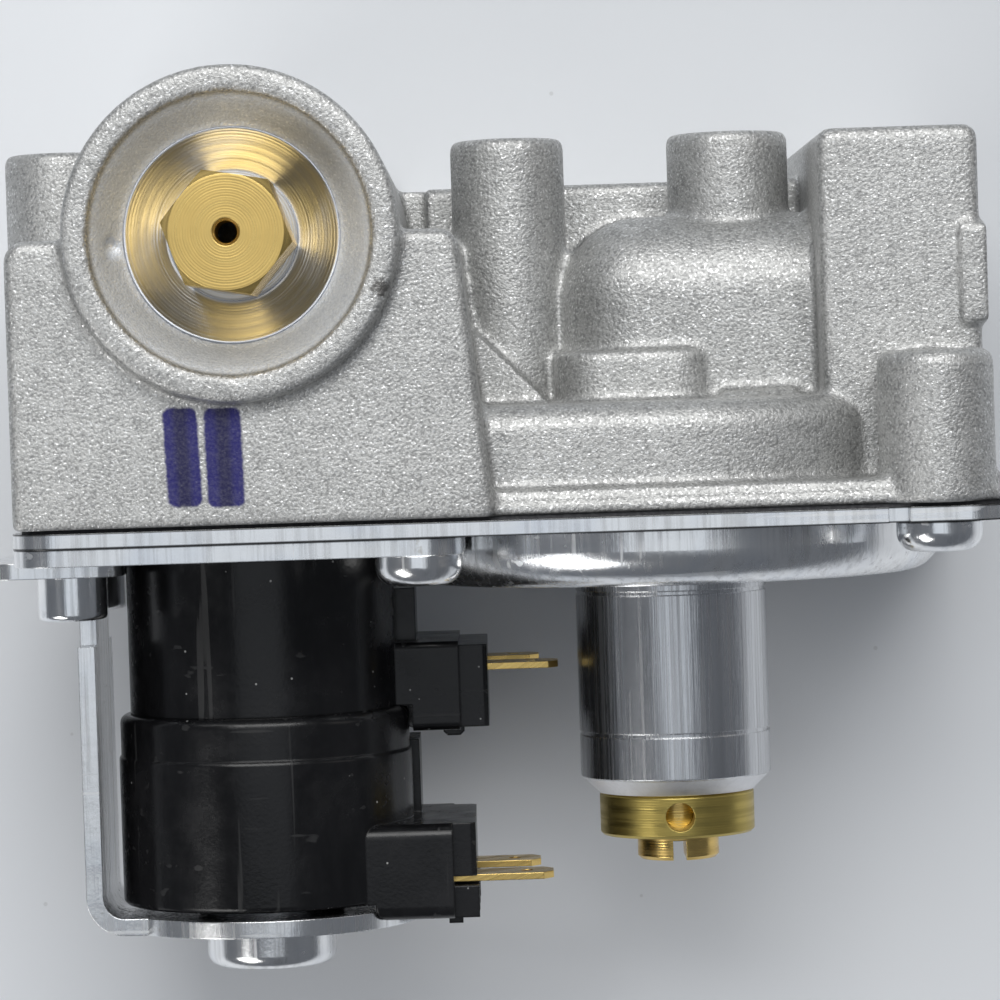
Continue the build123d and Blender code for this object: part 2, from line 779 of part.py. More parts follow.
def upper_terminals():
    """The upper coil's two brass spade terminals."""
    return tabs(
        upper_tab_y, coil_axis_z - upper_plug_set_back, upper_plug_x,
        (upper_tab_length, upper_tab_length - 2.2),
    )


def lower_terminals():
    """The lower coil's two brass spade terminals."""
    return tabs(lower_tab_y, coil_axis_z, lower_plug_step_x - 1.6, (lower_tab_length + 1.4, lower_tab_length))


def coil_void(radius, y_low, y_high, low_wall, high_wall):
    """The room for a bobbin and its winding inside a moulded case."""
    x = solenoid_x
    z = coil_axis_z
    return y_rod(radius - coil_wall, x, z, y_low + low_wall, y_high - high_wall) + y_rod(
        coil_hole_radius + bobbin_wall + fixed_gap, x, z, y_low - 1, y_high + 1
    )


def spine(y_low, y_high):
    """The flat back of a coil case, beside its round front."""
    right_x = solenoid_x + lower_coil_radius + coil_spine_proud
    left_x = solenoid_x + upper_coil_radius - plug_root_inset
    return box(left_x, right_x, y_low, y_high, coil_axis_z - coil_spine_low, coil_axis_z - coil_spine_high)


def upper_coil_case():
    """The upper coil's moulded case with its plug."""
    z = coil_axis_z
    case = y_rod(upper_coil_radius, solenoid_x, z, coil_joint_y, coil_top_y)
    case = fillet(case.edges().group_by(Axis.Y)[-1], 0.5)
    half = upper_plug_half_width
    middle_z = z - upper_plug_set_back
    root_x = solenoid_x + upper_coil_radius - plug_root_inset
    plug = box(root_x, upper_plug_step_x, upper_plug_bottom, upper_plug_top, middle_z - half, middle_z + half)
    plug = fillet(plug.edges().filter_by(Axis.X).group_by(Axis.Z)[-1], 0.9)
    nose = box(
        upper_plug_step_x - 0.5, upper_plug_x, upper_plug_bottom + 0.3, upper_plug_top - 0.5,
        middle_z - half + 1, middle_z + half - 0.8,
    )
    nose = fillet(nose.edges().filter_by(Axis.Y), 0.7)
    latch = box(
        upper_plug_step_x - 2.2, upper_plug_step_x + 0.4, upper_plug_bottom - 1.1, upper_plug_bottom + 0.5,
        middle_z - 3, middle_z + 6,
    )
    latch = chamfer(latch.edges().filter_by(Axis.Z).group_by(Axis.Y)[0], 0.5)
    case += plug
    case += nose
    case += latch
    case += spine(coil_joint_y, pan_floor_y - coil_pan_gap)
    case -= y_rod(lower_coil_radius + 0.4, solenoid_x, z, coil_bottom_y, coil_joint_y)
    case -= coil_void(upper_coil_radius, coil_joint_y, coil_top_y, coil_end_wall, coil_end_wall)
    for tab in upper_terminals():
        case -= tab
    return case


def lower_coil_case():
    """The lower coil's moulded case with its plug."""
    z = coil_axis_z
    shoulder_y = coil_joint_y - lower_shoulder_length
    case = y_rod(lower_coil_radius, solenoid_x, z, coil_bottom_y, shoulder_y)
    case = fillet(case.edges(), 0.6)
    case += rounded_end(
        lower_shoulder_radius, solenoid_x, z, shoulder_y - 1, coil_joint_y, lower_shoulder_edge
    )
    half = lower_plug_half_width
    root_x = solenoid_x + math.sqrt(lower_coil_radius**2 - half**2) - plug_bury
    plug = box(root_x, lower_plug_x, lower_plug_bottom, lower_plug_top, z - half, z + half)
    plug = fillet(plug.edges().filter_by(Axis.X).group_by(Axis.Z)[-1], 1.6)
    case += plug
    case += spine(coil_bottom_y, upper_plug_bottom - 2 * coil_pan_gap)
    cheek = box(
        lower_plug_x - 0.5, lower_plug_step_x, lower_tab_y + 0.4, lower_plug_top, z - half + 1.4,
        z + half - 1.4,
    )
    case += chamfer(cheek.edges().filter_by(Axis.Y).group_by(Axis.X)[-1], 0.6)
    for rib_z in (z - 11.0, z - 3.8, z + 3.2, z + 10.4):
        case += box(
            lower_plug_x - 0.5, lower_plug_step_x + 0.2, lower_plug_bottom, lower_tab_y - 0.8, rib_z - 0.6,
            rib_z + 0.8,
        )
    case += box(
        lower_plug_x - 0.8, lower_plug_x + 0.9, lower_plug_bottom - 1.4, lower_plug_bottom + 0.5, z - 5,
        z + 5,
    )
    case -= y_rod(lower_coil_radius + 0.7, solenoid_x, z, bracket_bottom_y - 6, coil_bottom_y)
    case -= coil_void(
        lower_coil_radius, coil_bottom_y, coil_joint_y, coil_end_wall,
        coil_end_wall + middle_washer_thickness,
    )
    case -= y_rod(
        middle_washer_radius + fixed_gap, solenoid_x, z, coil_joint_y - middle_washer_thickness,
        coil_joint_y + 1,
    )
    for tab in lower_terminals():
        case -= tab
    return case


def bobbin(radius, y_low, y_high):
    """A plastic spool that fills a coil case's room."""
    x = solenoid_x
    z = coil_axis_z
    inner = coil_hole_radius
    tube = y_ring(inner + bobbin_wall, inner, x, z, y_low, y_high)
    rim = radius - coil_wall - fixed_gap
    low = y_ring(rim, inner, x, z, y_low + fixed_gap, y_low + bobbin_flange)
    high = y_ring(rim, inner, x, z, y_high - bobbin_flange, y_high - fixed_gap)
    return tube + low + high


def winding(radius, y_low, y_high):
    """The copper winding on a bobbin, as one round pack."""
    outer = radius - coil_wall - winding_slack
    inner = coil_hole_radius + bobbin_wall + fixed_gap
    low = y_low + bobbin_flange + fixed_gap
    high = y_high - bobbin_flange - fixed_gap
    return y_ring(outer, inner, solenoid_x, coil_axis_z, low, high)


def guide_tube():
    """The brass tube that the plungers slide in, flanged at its mouth."""
    x = solenoid_x
    z = coil_axis_z
    tube = y_rod(tube_outer_radius, x, z, bracket_floor_y + fixed_gap, tube_flange_y)
    tube += y_rod(tube_flange_radius, x, z, tube_flange_y - tube_flange_thickness, tube_flange_y)
    return tube - y_rod(tube_bore_radius, x, z, bracket_floor_y - 1, tube_flange_y + 1)


def plunger_levels():
    """Where each plunger and the core begin and end, at rest."""
    first_top = tube_flange_y - 1.6
    first_low = first_top - first_plunger_length
    second_top = first_low - plunger_stroke - plunger_spare
    second_low = second_top - second_plunger_length
    core_top = second_low - plunger_stroke - plunger_spare
    return first_top, first_low, second_top, second_low, core_top


def fixed_core():
    """The steel core that ends in the stud for the nut."""
    x = solenoid_x
    z = coil_axis_z
    core_top = plunger_levels()[4]
    core = y_rod(tube_bore_radius - fixed_gap, x, z, bracket_floor_y + fixed_gap, core_top)
    core += y_rod(stack_screw_radius, x, z, nut_bottom_y + nut_socket_depth + 0.8, bracket_floor_y + 1)
    return core - y_rod(core_spring_pocket_radius, x, z, core_top - core_spring_pocket_depth, core_top + 1)


def first_plunger():
    """The upper hollow plunger."""
    x = solenoid_x
    z = coil_axis_z
    first_top, first_low = plunger_levels()[:2]
    plunger = y_rod(plunger_radius, x, z, first_low, first_top)
    plunger = chamfer(plunger.edges(), 0.3)
    plunger += y_rod(neck_radius, x, z, first_top - 0.5, first_lip_y - disc_rubber - disc_backing)
    return plunger - y_rod(rod_radius + rod_gap, x, z, first_low - 1, first_lip_y)


def first_disc_holder():
    """The metal plate behind the first valve disc."""
    high = first_lip_y - disc_rubber
    return y_ring(disc_radius, rod_radius + rod_gap, solenoid_x, coil_axis_z, high - disc_backing, high)


def first_valve_disc():
    """The rubber disc that closes the first seat."""
    return y_ring(
        disc_radius, rod_radius + rod_gap, solenoid_x, coil_axis_z, first_lip_y - disc_rubber, first_lip_y
    )


def second_plunger():
    """The lower plunger and the rod that it pulls through the upper one."""
    x = solenoid_x
    z = coil_axis_z
    second_top, second_low = plunger_levels()[2:4]
    plunger = y_rod(plunger_radius, x, z, second_low, second_top)
    plunger = chamfer(plunger.edges(), 0.3)
    plunger += y_rod(
        rod_radius, x, z, second_top - 0.5, second_seat_y - small_disc_rubber - small_disc_backing
    )
    return plunger - y_rod(
        core_spring_pocket_radius, x, z, second_low - 1, second_low + core_spring_pocket_depth
    )


def second_disc_holder():
    """The metal plate behind the second valve disc."""
    high = second_seat_y - small_disc_rubber
    return y_rod(small_disc_radius, solenoid_x, coil_axis_z, high - small_disc_backing, high)


def second_valve_disc():
    """The rubber disc that closes the second seat."""
    return y_rod(small_disc_radius, solenoid_x, coil_axis_z, second_seat_y - small_disc_rubber, second_seat_y)


def first_spring():
    """The spring that closes the first valve disc."""
    top = first_lip_y - disc_rubber - disc_backing
    return y_spring(
        first_spring_radius, first_spring_wire, first_spring_turns, solenoid_x, coil_axis_z, tube_flange_y, top
    )


def second_spring():
    """The spring that closes the second valve disc."""
    second_low, core_top = plunger_levels()[3:]
    low = core_top - core_spring_pocket_depth
    top = second_low + core_spring_pocket_depth
    return y_spring(
        core_spring_radius, core_spring_wire, core_spring_turns, solenoid_x, coil_axis_z, low, top
    )


def coil_nut():
    """The round cap nut that clamps the bracket and the coils, with a key socket."""
    x = solenoid_x
    z = coil_axis_z
    flange = y_rod(nut_flange_radius, x, z, bracket_bottom_y - nut_flange_thickness, bracket_bottom_y)
    body = y_rod(nut_radius, x, z, nut_bottom_y, bracket_bottom_y)
    body = fillet(body.edges().group_by(Axis.Y)[0], nut_edge)
    socket = extrude(RegularPolygon(nut_socket_flats / 2, 6, major_radius=False), amount=nut_socket_depth + 1)
    nut = flange + body - Pos(x, nut_bottom_y - 1, z) * Rot(-90, 0, 0) * socket
    return nut - y_rod(
        stack_screw_radius + fixed_gap, x, z, nut_bottom_y + nut_socket_depth + 0.6, bracket_bottom_y + 1
    )


def inlet_strainer():
    """The round screen pressed in behind the inlet thread."""
    x = solenoid_x
    mouth_z = inlet_thread_length
    rim = z_rod(strainer_radius, x, 0, mouth_z, mouth_z + strainer_length - 0.6)
    rim -= z_rod(strainer_radius - 1.2, x, 0, mouth_z - 1, mouth_z + strainer_length - 1.4)
    hole = z_rod(0.75, x, 0, mouth_z, mouth_z + strainer_length)
    for row in range(-3, 4):
        for column in range(-3, 4):
            place = (1.9 * column + (0.95 if row % 2 else 0.0), 1.65 * row)
            if math.hypot(*place) < strainer_radius - 2.2:
                rim -= Pos(place[0], place[1], 0) * hole
    return rim


def outlet_injector():
    """The hexagon brass injector with its drilled orifice."""
    foot_z = funnel_seat_z + injector_seal_thickness
    hexagon = extrude(
        Pos(solenoid_x, 0, foot_z) * Rot(0, 0, -10) * RegularPolygon(
            injector_flats / 2, 6, major_radius=False
        ),
        amount=injector_tip_z - foot_z,
    )
    chamfer_rise = 1.1
    dressing = z_rod(injector_flats, solenoid_x, 0, foot_z - 1, injector_tip_z - chamfer_rise - 0.1)
    corner = injector_flats / math.sqrt(3)
    dressing += z_cone(
        corner + 0.15, injector_flats / 2, solenoid_x, 0, injector_tip_z - chamfer_rise - 0.1,
        injector_tip_z,
    )
    injector = hexagon & dressing
    injector += z_rod(injector_thread_radius, solenoid_x, 0, foot_z - injector_thread_length, foot_z + 0.5)
    injector -= z_rod(injector_orifice_radius, solenoid_x, 0, foot_z, injector_tip_z + 1)
    injector -= z_cone(
        injector_orifice_radius, injector_orifice_radius + 0.35, solenoid_x, 0, injector_tip_z - 0.35,
        injector_tip_z,
    )
    return injector - z_rod(
        injector_bore_radius, solenoid_x, 0, foot_z - injector_thread_length - 1, injector_tip_z - 6
    )


def injector_seal():
    """The soft metal washer under the injector's hexagon."""
    outer = funnel_foot_radius - 0.5
    seal = z_rod(outer, solenoid_x, 0, funnel_seat_z, funnel_seat_z + injector_seal_thickness)
    return seal - z_rod(injector_thread_radius + 0.1, solenoid_x, 0, funnel_seat_z - 1, funnel_seat_z + 2)


def diaphragm():
    """The rubber diaphragm, clamped at its rim, with one round fold."""
    top = flange_y + diaphragm_thickness - gasket_thickness
    low = top - diaphragm_thickness
    fold = diaphragm_fold_radius
    outer = diaphragm_fold_size
    inner = outer - diaphragm_thickness
    bore = stem_radius + fixed_gap
    section = make_face(
        [
            Line((bore, low), (fold - outer, low)),
            ThreePointArc((fold - outer, low), (fold, low - outer), (fold + outer, low)),
            Polyline(
                (fold + outer, low), (diaphragm_radius, low), (diaphragm_radius, top), (fold + inner, top)
            ),
            Line((fold + inner, top), (fold + inner, low)),
            ThreePointArc((fold + inner, low), (fold, low - inner), (fold - inner, low)),
            Polyline((fold - inner, low), (fold - inner, top), (bore, top), (bore, low)),
        ]
    )
    return Pos(regulator_x, 0, coil_axis_z) * revolve(section, Axis.Y)


def pressure_plate():
    """The disc on the gas side of the diaphragm."""
    low = flange_y + diaphragm_thickness - gasket_thickness
    return y_ring(
        pressure_plate_radius, stem_radius + fixed_gap, regulator_x, coil_axis_z, low,
        low + pressure_plate_thickness,
    )


def spring_cup():
    """The disc on the spring side of the diaphragm, with a rim round the spring."""
    high = flange_y - gasket_thickness
    low = high - spring_cup_thickness
    cup = y_ring(spring_cup_radius, stem_radius + fixed_gap, regulator_x, coil_axis_z, low, high)
    rim_inner = regulator_spring_radius + regulator_spring_wire + 0.4
    return cup + y_ring(rim_inner + spring_cup_rim, rim_inner, regulator_x, coil_axis_z, low - 1.2, low + 0.2)


def regulator_stem():
    """The rivet-headed stem that joins the diaphragm to the regulator disc."""
    x = regulator_x
    z = coil_axis_z
    cup_low = flange_y - gasket_thickness - spring_cup_thickness
    disc_low = regulator_seat_y + regulator_lift
    stem = y_rod(stem_radius, x, z, cup_low - 0.5, disc_low + regulator_disc_rubber + regulator_disc_backing)
    head = y_rod(rivet_radius, x, z, cup_low - rivet_height, cup_low)
    return stem + fillet(head.edges().group_by(Axis.Y)[0], 0.7)


def regulator_disc():
    """The rubber disc that throttles at the regulator seat."""
    low = regulator_seat_y + regulator_lift
    return y_ring(
        regulator_disc_radius, stem_radius + fixed_gap, regulator_x, coil_axis_z, low,
        low + regulator_disc_rubber,
    )


def regulator_disc_holder():
    """The metal plate behind the regulator disc."""
    low = regulator_seat_y + regulator_lift + regulator_disc_rubber
    return y_ring(
        regulator_disc_radius, stem_radius + fixed_gap, regulator_x, coil_axis_z, low,
        low + regulator_disc_backing,
    )


def adjuster_levels():
    """Where the adjusting screw's shoulder and the follower sit, at rest."""
    shoulder_low = tower_bottom_y + collar_spigot_length + fixed_gap
    shoulder_top = shoulder_low + adjuster_shoulder_length
    follower_low = shoulder_top + follower_travel + 1.6
    return shoulder_low, shoulder_top, follower_low, follower_low + follower_thickness


def regulator_tower():
    """The turned aluminium tower round the regulator's spring."""
    x = regulator_x
    z = coil_axis_z
    tower = y_rod(tower_radius, x, z, tower_bottom_y, pan_inner_y)
    tower = chamfer(tower.edges().group_by(Axis.Y)[0], tower_chamfer)
    tower += y_rod(tower_flange_radius, x, z, pan_inner_y, pan_inner_y + tower_flange_thickness)
    thread_top = tower_bottom_y + collar_spigot_length
    tower -= y_rod(tower_bore_radius, x, z, thread_top, pan_inner_y + 5)
    tower -= y_rod(collar_spigot_radius + fixed_gap, x, z, tower_bottom_y - 1, thread_top + 1)
    for side in (1, -1):
        reach = tower_bore_radius + follower_key_height + keyed_gap
        half = follower_key_width / 2 + keyed_gap
        low, high = sorted((x, x + side * reach))
        tower -= box(low, high, thread_top, pan_inner_y + 5, z - half, z + half)
    for place in tower_groove_places:
        groove_y = pan_floor_y - place
        tower -= y_ring(
            tower_radius + 1, tower_radius - tower_groove_depth, x, z, groove_y - tower_groove_width,
            groove_y,
        )
    return tower


def brass_collar():
    """The brass bush screwed into the tower's end, with its cross hole."""
    x = regulator_x
    z = coil_axis_z
    collar = y_rod(collar_radius, x, z, collar_bottom_y, tower_bottom_y)
    collar = chamfer(collar.edges(), 0.35)
    collar += y_rod(collar_spigot_radius, x, z, tower_bottom_y - 0.5, tower_bottom_y + collar_spigot_length)
    collar -= y_rod(
        adjuster_radius + adjuster_gap, x, z, collar_bottom_y - 1, tower_bottom_y + collar_spigot_length + 1
    )
    middle_y = (collar_bottom_y + tower_bottom_y) / 2
    return collar - z_rod(collar_pin_hole_radius, x, middle_y, z - collar_radius - 2, z + collar_radius + 2)


def adjusting_screw():
    """The slotted brass screw that sets the outlet pressure."""
    x = regulator_x
    z = coil_axis_z
    low = collar_bottom_y - adjuster_proud
    shoulder_low, shoulder_top = adjuster_levels()[:2]
    screw = y_rod(adjuster_radius, x, z, low, shoulder_low + 0.5)
    screw = chamfer(screw.edges().group_by(Axis.Y)[0], 0.4)
    screw += y_rod(adjuster_shoulder_radius, x, z, shoulder_low, shoulder_top)
    screw += y_rod(adjuster_thread_radius, x, z, shoulder_top - 0.5, shoulder_top + adjuster_thread_length)
    half = adjuster_slot_width / 2
    return screw - box(x - half, x + half, low - 1, low + adjuster_slot_depth, z - 8, z + 8)


def spring_follower():
    """The keyed nut that the adjusting screw drives against the spring."""
    x = regulator_x
    z = coil_axis_z
    low, high = adjuster_levels()[2:]
    radius = tower_bore_radius - keyed_gap
    follower = y_rod(radius, x, z, low, high)
    key = box(
        x - radius - follower_key_height, x + radius + follower_key_height, low, high,
        z - follower_key_width / 2, z + follower_key_width / 2,
    )
    follower += key
    return follower - y_rod(adjuster_thread_radius + fixed_gap, x, z, low - 1, high + 1)


def regulator_spring():
    """The spring between the follower and the diaphragm."""
    low = adjuster_levels()[3]
    high = flange_y - gasket_thickness - spring_cup_thickness
    return y_spring(
        regulator_spring_radius,
        regulator_spring_wire,
        regulator_spring_turns,
        regulator_x,
        coil_axis_z,
        low,
        high,
    )


def main():
    """Write every piece of the valve."""
    x = solenoid_x
    z = coil_axis_z
    lower_top = coil_joint_y - middle_washer_thickness
    upper_span = (coil_joint_y + coil_end_wall, coil_top_y - coil_end_wall)
    lower_span = (coil_bottom_y + coil_end_wall, lower_top - coil_end_wall)
    seal_y = gasket_low_y

    save("valve_body", valve_body())
    save("cover_gasket", cover_gasket())
    save("cover_plate", cover_plate())
    save("solenoid_base_plate", solenoid_base_plate())
    save("cover_screws", Compound(children=cover_screws()))
    save("coil_bracket", coil_bracket())
    save("bracket_screws", Compound(children=bracket_screws()))
    save("coil_nut", coil_nut())
    save("coil_spring_washer", y_ring(9.0, tube_outer_radius + 0.1, x, z, bracket_floor_y, coil_bottom_y))

    save("upper_coil_case", upper_coil_case())
    save("upper_bobbin", bobbin(upper_coil_radius, *upper_span))
    save("upper_winding", winding(upper_coil_radius, *upper_span))
    save("upper_terminals", Compound(children=upper_terminals()))
    save("lower_coil_case", lower_coil_case())
    save("lower_bobbin", bobbin(lower_coil_radius, *lower_span))
    save("lower_winding", winding(lower_coil_radius, *lower_span))
    save("lower_terminals", Compound(children=lower_terminals()))
    save("middle_flux_washer", y_ring(middle_washer_radius, coil_hole_radius, x, z, lower_top, coil_joint_y))

    save("guide_tube", guide_tube())
    save(
        "guide_tube_seal",
        y_ring(tube_flange_radius, coil_hole_radius + 0.6, x, z, seal_y, seal_y + tube_seal_thickness),
    )
    save("fixed_core", fixed_core())
    save("first_plunger", first_plunger())
    save("first_disc_holder", first_disc_holder())
    save("first_valve_disc", first_valve_disc())
    save("first_valve_spring", first_spring())
    save("second_plunger", second_plunger())
    save("second_disc_holder", second_disc_holder())
    save("second_valve_disc", second_valve_disc())
    save("second_valve_spring", second_spring())

    save("inlet_strainer", inlet_strainer())
    save("outlet_injector", outlet_injector())
    save("injector_seal", injector_seal())

    save("diaphragm", diaphragm())
    save("pressure_plate", pressure_plate())
    save("spring_cup", spring_cup())
    save("regulator_stem", regulator_stem())
    save("regulator_disc", regulator_disc())
    save("regulator_disc_holder", regulator_disc_holder())
    save("regulator_spring", regulator_spring())
    save("regulator_tower", regulator_tower())
    save("brass_collar", brass_collar())
    save("adjusting_screw", adjusting_screw())
    save("spring_follower", spring_follower())


main()
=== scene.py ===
import math

import bmesh
import bpy
from mathutils import Matrix, Vector


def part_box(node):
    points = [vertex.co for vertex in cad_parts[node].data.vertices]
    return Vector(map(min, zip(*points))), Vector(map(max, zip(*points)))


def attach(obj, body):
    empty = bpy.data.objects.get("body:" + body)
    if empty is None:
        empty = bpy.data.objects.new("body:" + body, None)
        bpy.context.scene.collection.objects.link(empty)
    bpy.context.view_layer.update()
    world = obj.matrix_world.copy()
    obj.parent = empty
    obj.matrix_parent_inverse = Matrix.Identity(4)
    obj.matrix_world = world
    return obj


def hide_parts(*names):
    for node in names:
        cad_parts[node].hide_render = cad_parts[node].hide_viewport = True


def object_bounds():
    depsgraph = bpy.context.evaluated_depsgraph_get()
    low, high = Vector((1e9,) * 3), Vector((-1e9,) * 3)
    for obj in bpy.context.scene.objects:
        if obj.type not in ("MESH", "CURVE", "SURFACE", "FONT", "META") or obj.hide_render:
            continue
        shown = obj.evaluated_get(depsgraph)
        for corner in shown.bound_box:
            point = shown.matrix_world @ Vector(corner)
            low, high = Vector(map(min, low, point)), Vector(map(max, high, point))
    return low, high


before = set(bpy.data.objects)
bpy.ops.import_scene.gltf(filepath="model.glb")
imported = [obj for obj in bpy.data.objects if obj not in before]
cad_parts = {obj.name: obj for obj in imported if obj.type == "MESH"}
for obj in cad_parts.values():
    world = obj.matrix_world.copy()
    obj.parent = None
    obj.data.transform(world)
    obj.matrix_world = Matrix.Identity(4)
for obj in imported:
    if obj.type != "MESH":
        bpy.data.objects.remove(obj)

bl_info = {
    "name": "Gas control valve",
    "version": (1, 0, 0),
    "blender": (4, 5, 0),
    "location": "3D View > Sidebar > Gas valve",
    "description": "Finishes the pieces of a gas control valve and sets them on a pale table",
    "category": "Object",
}

MM = 0.001
cad_low, cad_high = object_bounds()
body_low, body_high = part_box("valve_body")
tower_low, tower_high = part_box("regulator_tower")
ring_face_z = body_high.z
throat_radius = 15.6 * MM
throat_fade = 0.6 * MM
throat_lip_depth = 0.5 * MM
throat_full_depth = 1.2 * MM
# painted reflection: pale bluish colour laid into the outlet's throat in place of reflected light
painted_throat_reflection_tone = (0.84, 0.89, 0.97)
scuff_place = (16.9 * MM, -6.6 * MM, ring_face_z)
joint_places = (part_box("solenoid_base_plate")[1].y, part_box("cover_gasket")[0].y)
regulator_axis = Vector(((tower_low.x + tower_high.x) / 2, 0.0, (tower_low.z + tower_high.z) / 2))


# ---- Sizes and colours a user may change ----


class GasValveCasting(bpy.types.PropertyGroup):
    """The die-cast body and its machined outlet."""

    colour: bpy.props.FloatVectorProperty(
        name="Colour", description="Bare blasted aluminium", subtype="COLOR", size=3, default=(
            0.56, 0.56, 0.55
        )
    )
    grain_size: bpy.props.FloatProperty(
        name="Grain size", description="Width of one blasted pit", default=0.34 * MM, subtype="DISTANCE",
        unit="LENGTH"
    )
    grain_depth: bpy.props.FloatProperty(
        name="Grain depth", description="Depth of the blasted pits", default=0.085 * MM, subtype="DISTANCE",
        unit="LENGTH"
    )
    skin_step: bpy.props.FloatProperty(
        name="Skin step", description="Spacing of the cast skin's mesh", default=0.42 * MM,
        subtype="DISTANCE", unit="LENGTH"
    )
    skin_softening: bpy.props.IntProperty(
        name="Skin softening", description="Rounds of smoothing that soften the cast edges", default=7, min=0,
        max=30
    )
    ink: bpy.props.FloatVectorProperty(
        name="Ink", description="Inspector's marker strokes", subtype="COLOR", size=3, default=(
            0.010, 0.008, 0.13
        )
    )
    funnel_rim: bpy.props.FloatProperty(
        name="Funnel rim", description="Radius of the machined funnel's rim", default=12.15 * MM,
        unit="LENGTH"
    )
    funnel_foot: bpy.props.FloatProperty(
        name="Funnel foot", description="Radius of the machined funnel's foot", default=7.95 * MM,
        unit="LENGTH"
    )
    funnel_rim_depth: bpy.props.FloatProperty(
        name="Funnel rim depth", description="Depth of the funnel's rim under the ring", default=5.5 * MM,
        unit="LENGTH"
    )
    funnel_foot_depth: bpy.props.FloatProperty(
        name="Funnel foot depth", description="Depth of the funnel's foot under the ring", default=8.3 * MM,
        unit="LENGTH"
    )
    ring_pitch: bpy.props.FloatProperty(
        name="Turning pitch", description="Spacing of the lathe marks", default=0.34 * MM, unit="LENGTH"
    )


class GasValveMetals(bpy.types.PropertyGroup):
    """Plated steel, turned aluminium and brass."""

    zinc: bpy.props.FloatVectorProperty(
        name="Zinc", description="Bright zinc plate", subtype="COLOR", size=3, default=(0.93, 0.935, 0.94)
    )
    turned: bpy.props.FloatVectorProperty(
        name="Turned aluminium", description="Drawn and turned bar", subtype="COLOR", size=3, default=(
            0.72, 0.73, 0.75
        )
    )
    brass: bpy.props.FloatVectorProperty(
        name="Brass", description="Fresh turned brass", subtype="COLOR", size=3, default=(0.82, 0.58, 0.20)
    )
    dull_brass: bpy.props.FloatVectorProperty(
        name="Dull brass", description="Handled brass of the collar", subtype="COLOR", size=3, default=(
            0.55, 0.43, 0.13
        )
    )
    edge_round: bpy.props.FloatProperty(
        name="Edge rounding", description="Radius that the light sees on sharp edges", default=0.16 * MM,
        unit="LENGTH"
    )


class GasValvePlastics(bpy.types.PropertyGroup):
    """The coils' mouldings and the soft parts."""

    black: bpy.props.FloatVectorProperty(
        name="Black", description="Glass-filled black moulding", subtype="COLOR", size=3, default=(
            0.004, 0.004, 0.0045
        )
    )
    dust: bpy.props.FloatProperty(
        name="Dust", description="How much dust lies on the mouldings", default=0.5, min=0.0, max=1.0,
        subtype="FACTOR"
    )
    moulding_round: bpy.props.FloatProperty(
        name="Moulding rounding", description="Radius on the moulded edges", default=0.3 * MM, unit="LENGTH"
    )


class GasValveStage(bpy.types.PropertyGroup):
    """Table, lights and camera."""

    table: bpy.props.FloatVectorProperty(
        name="Table", description="Pale table top", subtype="COLOR", size=3, default=(0.78, 0.80, 0.83)
    )
    table_width: bpy.props.FloatProperty(
        name="Table width", description="Side of the table", default=6.0, unit="LENGTH"
    )
    lens: bpy.props.FloatProperty(
        name="Lens", description="Focal length on a 36 mm wide frame", default=153.5,
        subtype="DISTANCE_CAMERA", unit="CAMERA"
    )
    turn: bpy.props.FloatProperty(
        name="Turn", description="Camera's roll about its own axis", default=math.radians(-1.85),
        subtype="ANGLE", unit="ROTATION"
    )
    tilt: bpy.props.FloatProperty(
        name="Tilt", description="Camera's lean off the vertical", default=math.radians(-1.48),
        subtype="ANGLE", unit="ROTATION"
    )
    camera_place: bpy.props.FloatVectorProperty(
        name="Camera place", description="Where the camera stands", subtype="TRANSLATION", size=3,
        default=(30.0 * MM, -18.6 * MM, 556 * MM), unit="LENGTH",
    )


# ---- Wiring of node trees ----


class Wiring:
    """Adds nodes to one tree and joins their sockets."""

    def __init__(self, tree):
        self.tree = tree

    def add(self, kind, inputs=None, **settings):
        node = self.tree.nodes.new(kind)
        for name, value in settings.items():
            setattr(node, name, value)
        for name, value in (inputs or {}).items():
            self.feed(node.inputs[name], value)
        return node

    def feed(self, socket, value):
        if isinstance(value, bpy.types.NodeSocket):
            self.tree.links.new(value, socket)
        elif socket.type == "RGBA" and len(value) == 3:
            socket.default_value = (*value, 1.0)
        else:
            socket.default_value = value

    def sum(self, operation, first, second=0.0, third=0.0, clamp=False):
        node = self.add(
            "ShaderNodeMath", {0: first, 1: second, 2: third}, operation=operation, use_clamp=clamp
        )
        return node.outputs[0]

    def ramp(self, value, low, high, to_low=0.0, to_high=1.0, smooth=True):
        inputs = {"Value": value, "From Min": low, "From Max": high, "To Min": to_low, "To Max": to_high}
        kind = "SMOOTHSTEP" if smooth else "LINEAR"
        return self.add("ShaderNodeMapRange", inputs, interpolation_type=kind).outputs["Result"]

    def mix(self, factor, first, second, blend="MIX"):
        node = self.add("ShaderNodeMix", {0: factor, 6: first, 7: second}, data_type="RGBA", blend_type=blend)
        return node.outputs[2]

    def noise(self, vector, scale, detail=3.0, rough=0.55):
        inputs = {"Vector": vector, "Scale": scale, "Detail": detail, "Roughness": rough}
        return self.add("ShaderNodeTexNoise", inputs).outputs["Fac"]

    def moved(self, vector, shift=(0, 0, 0), turn=(0, 0, 0), scale=(1, 1, 1)):
        inputs = {"Vector": vector, "Location": shift, "Rotation": turn, "Scale": scale}
        return self.add("ShaderNodeMapping", inputs).outputs["Vector"]

    def group(self, tree, inputs):
        node = self.add("ShaderNodeGroup", node_tree=tree)
        for name, value in inputs.items():
            self.feed(node.inputs[name], value)
        return node.outputs


